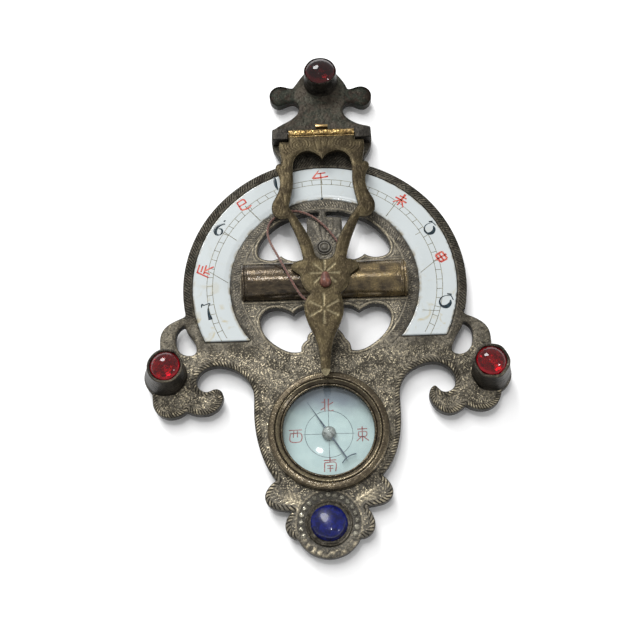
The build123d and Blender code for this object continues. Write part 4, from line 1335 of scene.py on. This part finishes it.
def star(u, v, at, rays, length, inner=0.4):
    """Engraved rays round a point: 1 in a cut, 0 outside."""
    du, dv = u - at[0], v - at[1]
    r, angle = np.hypot(du, dv), np.arctan2(du, -dv)
    out = 0 * u
    for k in range(rays):
        turn = angle - math.tau * k / rays
        along, across = r * np.cos(turn), np.abs(r * np.sin(turn))
        body = smoothstep(inner, inner + 0.5, along) * (1 - smoothstep(length - 0.7, length, along))
        width = 0.20 + 0.22 * np.clip(along / length, 0, 1)
        out = np.maximum(out, body * (1 - smoothstep(width * 0.6, width * 1.5, across)))
    return out


def arm_cuts(u, v, gap):
    """How deeply the arm's face is cut, 0 to 1, and where it is rubbed bright."""
    cut = 0.35 * line_at(gap, 0.8, 0.4)
    inner = smoothstep(0.9, 1.3, gap)
    top = 1 - smoothstep(7.5, 9.5, v)
    fan = cuts(np.arctan2(u, v - 13.5) * 4.6 + 0.5, 0.4) * (1 - smoothstep(2.6, 3.4, np.abs(u)))
    scroll_x = np.abs(u) - 7.0
    ring = np.hypot(scroll_x, (v - 4.6) * 1.2)
    spiral = cuts(ring * 1.1 - np.arctan2(v - 4.6, scroll_x) / math.tau, 0.42)
    cut = np.maximum(cut, top * inner * np.maximum(fan * 0.6, spiral * smoothstep(3.0, 3.6, np.abs(u))) * 0.4)
    rails = smoothstep(9.5, 10.5, v) * (1 - smoothstep(41, 43, v))
    vine = cuts(wavy(u, v, 17, 5.0) * 3.4 + v * 0.2, 0.4)
    cut = np.maximum(cut, rails * inner * vine * 0.3)
    rays = np.maximum(star(u, v, (-0.2, 50.2), 8, 4.8), star(u, v, (-0.7, 61.7), 6, 5.2))
    plain = smoothstep(43, 45, v)
    cut = np.maximum(cut, plain * 0.22 * smoothstep(0.25, 0.6, wavy(u, v, 41, 0.9)))
    worn = smoothstep(0.2, 0.7, 0.5 + 0.5 * wavy(u, v, 19, 7.0))
    rubbed = 0.55 * rays + 0.25 * line_at(gap, 0.3, 0.7) * worn
    return np.maximum(cut, 0.45 * rays), rays, rubbed


def make_arm():
    """The gnomon arm: softened edges, engraved face and a bright turned-up tip."""
    arm = node_mesh("gnomon_arm", "arm", voxel=0.2)
    top_normal = Vector((0, math.sin(ARM_SLOPE), math.cos(ARM_SLOPE)))
    loops = front_loops("gnomon_arm", lambda f: f.normal.dot(top_normal) > 0.995)
    loops = [from_arm(np.c_[loop[:, :2], loop[:, 2]])[:, :2] for loop in loops]
    points = read_points(arm)
    local = from_arm(points)
    normals = vertex_normals(arm)
    face = (local[:, 2] > ARM_T / 2 - 0.28) & (normals[:, 2] > 0.35)
    u, v = local[face, 0], local[face, 1]
    gap, _, _ = edge_field(np.stack([u, v], 1), loops)
    cut, rays, rubbed = arm_cuts(u, v, gap)
    edge = 0.26 * (1 - smoothstep(0, 0.85, gap)) ** 1.4
    local[face, 2] += -0.16 * cut - edge + 0.02 * wavy(u, v, 13, 5.0)
    tip = smoothstep(79.8, 82.2, local[:, 1])
    local[:, 2] += -0.5 * tip * (local[:, 2] > 0)
    tone = np.zeros(len(points))
    tone[face] = np.maximum(cut * (1 - rays), 0.36 * (1 - smoothstep(40, 46, v)))
    # The arm's side faces are darkened: painted shade.
    tone[~face] = 0.55
    bright = np.zeros(len(points))
    bright[face] = rubbed
    bright = np.maximum(bright, 1.6 * smoothstep(80.2, 80.9, local[:, 1]) * (local[:, 2] > -0.3))
    write_points(arm, on_arm(local))
    paint(arm, "tone", tone)
    paint(arm, "gilt_and_glint", bright)
    finish_piece(arm, M_ARM, "arm", ["gnomon_arm"])


def make_barrel():
    """The hammered barrel, with the bright solder line where it meets the arm."""
    low, high = node_box("arm_barrel")
    half = (high[0] - low[0]) / 2
    radius = (high[2] - low[2]) / 2
    bore = 0.66
    profile = [(bore, -half), (radius - 0.25, -half), (radius - 0.03, -half + 0.25)]
    profile += [(radius - 0.04, x) for x in np.linspace(-half + 0.5, half - 0.5, 90)]
    profile += [(radius - 0.03, half - 0.25), (radius - 0.25, half), (bore, half), (bore, -half)]

    def hammered(angles, height):
        return 0.05 * wavy(angles * 2.2, height + 0 * angles, 7, 1.5) - 0.03
    points, faces = lathe(profile, steps=64, wobble=hammered)
    inner = np.hypot(points[:, 0], points[:, 1]) < 0.85
    points[inner, :2] *= bore / np.hypot(points[inner, 0], points[inner, 1])[:, None]
    placed_points = np.stack([points[:, 2], -points[:, 0], points[:, 1]], 1)
    barrel = make_piece("barrel", on_arm(placed_points), faces, M_BARREL, "arm",
                        ["arm_barrel"])
    paint(barrel, "tone", 0.0)
    bead, sides = [], 10
    for x in np.linspace(-half + 0.1, half - 0.1, 90):
        r = 0.13 + 0.02 * math.sin(x * 3.1) + 0.015 * math.sin(x * 7.3)
        bead.append([(x, 1.6 + r * math.cos(t) + 0.05 * math.sin(x * 1.3), 0.78 + r * 0.9 * math.sin(t))
                     for t in np.linspace(0, math.tau, sides, endpoint=False)])
    faces = rod_faces(len(bead), sides)
    seam = make_piece("solder_line", on_arm(np.concatenate(bead)), faces, M_SEAM, "arm")
    paint(seam, "tone", 0.0)


def soften(name, new_name, material, width, body="root", rough=0.0, seed=0):
    """A CAD node's shape with rounded edges and a slightly uneven skin."""
    copy = node_mesh(name, new_name)
    bevel = copy.modifiers.new("edge", "BEVEL")
    bevel.width = width * MM
    bevel.segments = 3
    bevel.limit_method = "ANGLE"
    bevel.angle_limit = math.radians(35)
    apply_modifiers(copy)
    if rough:
        points = read_points(copy)
        normals = vertex_normals(copy)
        amount = rough * wavy(points[:, 0] + points[:, 2], points[:, 1] - points[:, 2], seed, 2.2)
        write_points(copy, points - normals * np.abs(amount)[:, None])
    finish_piece(copy, material, body, [name])
    return copy


def make_hinge_pieces():
    """Knuckles, stop block and peg."""
    for side in ("left", "right"):
        knuckle = soften("knuckle_" + side, "hinge_knuckle_" + side, M_BLACK, 0.12,
                         rough=0.06, seed=3)
        paint(knuckle, "tone", 0.5)
        paint(knuckle, "gilt_and_glint", 0.16)
    soften("stop_block", "stop", M_SEAM, 0.12)
    peg = node_mesh("thread_peg", "peg", voxel=0.16)
    smooth = peg.modifiers.new("smooth", "SMOOTH")
    smooth.iterations = 10
    smooth.factor = 0.6
    apply_modifiers(peg)
    finish_piece(peg, M_PEG, "arm", ["thread_peg"])


def make_hub():
    """The rough cap over the needle's pivot."""
    low, high = node_box("needle_cap")
    radius = (high[0] - low[0]) / 2
    rings = [(radius * math.cos(t) ** 0.6, low[2] + (high[2] - low[2]) * math.sin(t))
             for t in np.linspace(0, 1.5, 14)]
    rings = [(radius * 0.96, low[2])] + rings[1:] + [(0.001, high[2])]
    points, faces = lathe(rings, COMPASS, 60, ripple(21, 0.5, 0.09))
    lump = wavy(points[:, 0], points[:, 1], 33, 0.9) * 0.07
    points[:, 2] = np.minimum(points[:, 2] + lump * (points[:, 2] > low[2] + 0.1), high[2])
    hub = make_piece("hub", points, faces, M_HUB, "needle", ["needle_cap"])
    paint(hub, "tone", 0.5 + 5 * lump[: len(hub.data.vertices)])


def dress_cad_nodes():
    """Materials for the CAD nodes whose own shape is right."""
    finishes = {
        "scale_enamel": M_ENAMEL, "scale_copper_base": M_COPPER, "compass_dial": M_DIAL,
        "compass_bowl": M_BOWL, "hinge_pin": M_STEEL, "needle_pivot": M_STEEL,
        "compass_needle": M_BLUED, "collet_rivets": M_BOWL,
    }
    for name, material in finishes.items():
        mesh = frame["nodes"][name].data
        mesh.materials.clear()
        mesh.materials.append(material)


add_camera()
add_stage()
make_thread()
make_casting()
make_beads()
make_tube()
make_bezel()
make_retaining_ring()
make_glass()
make_stones()
make_blue_stone()
make_rosette()
mark_scale()
mark_dial()
make_arm()
make_barrel()
make_hinge_pieces()
make_hub()
dress_cad_nodes()
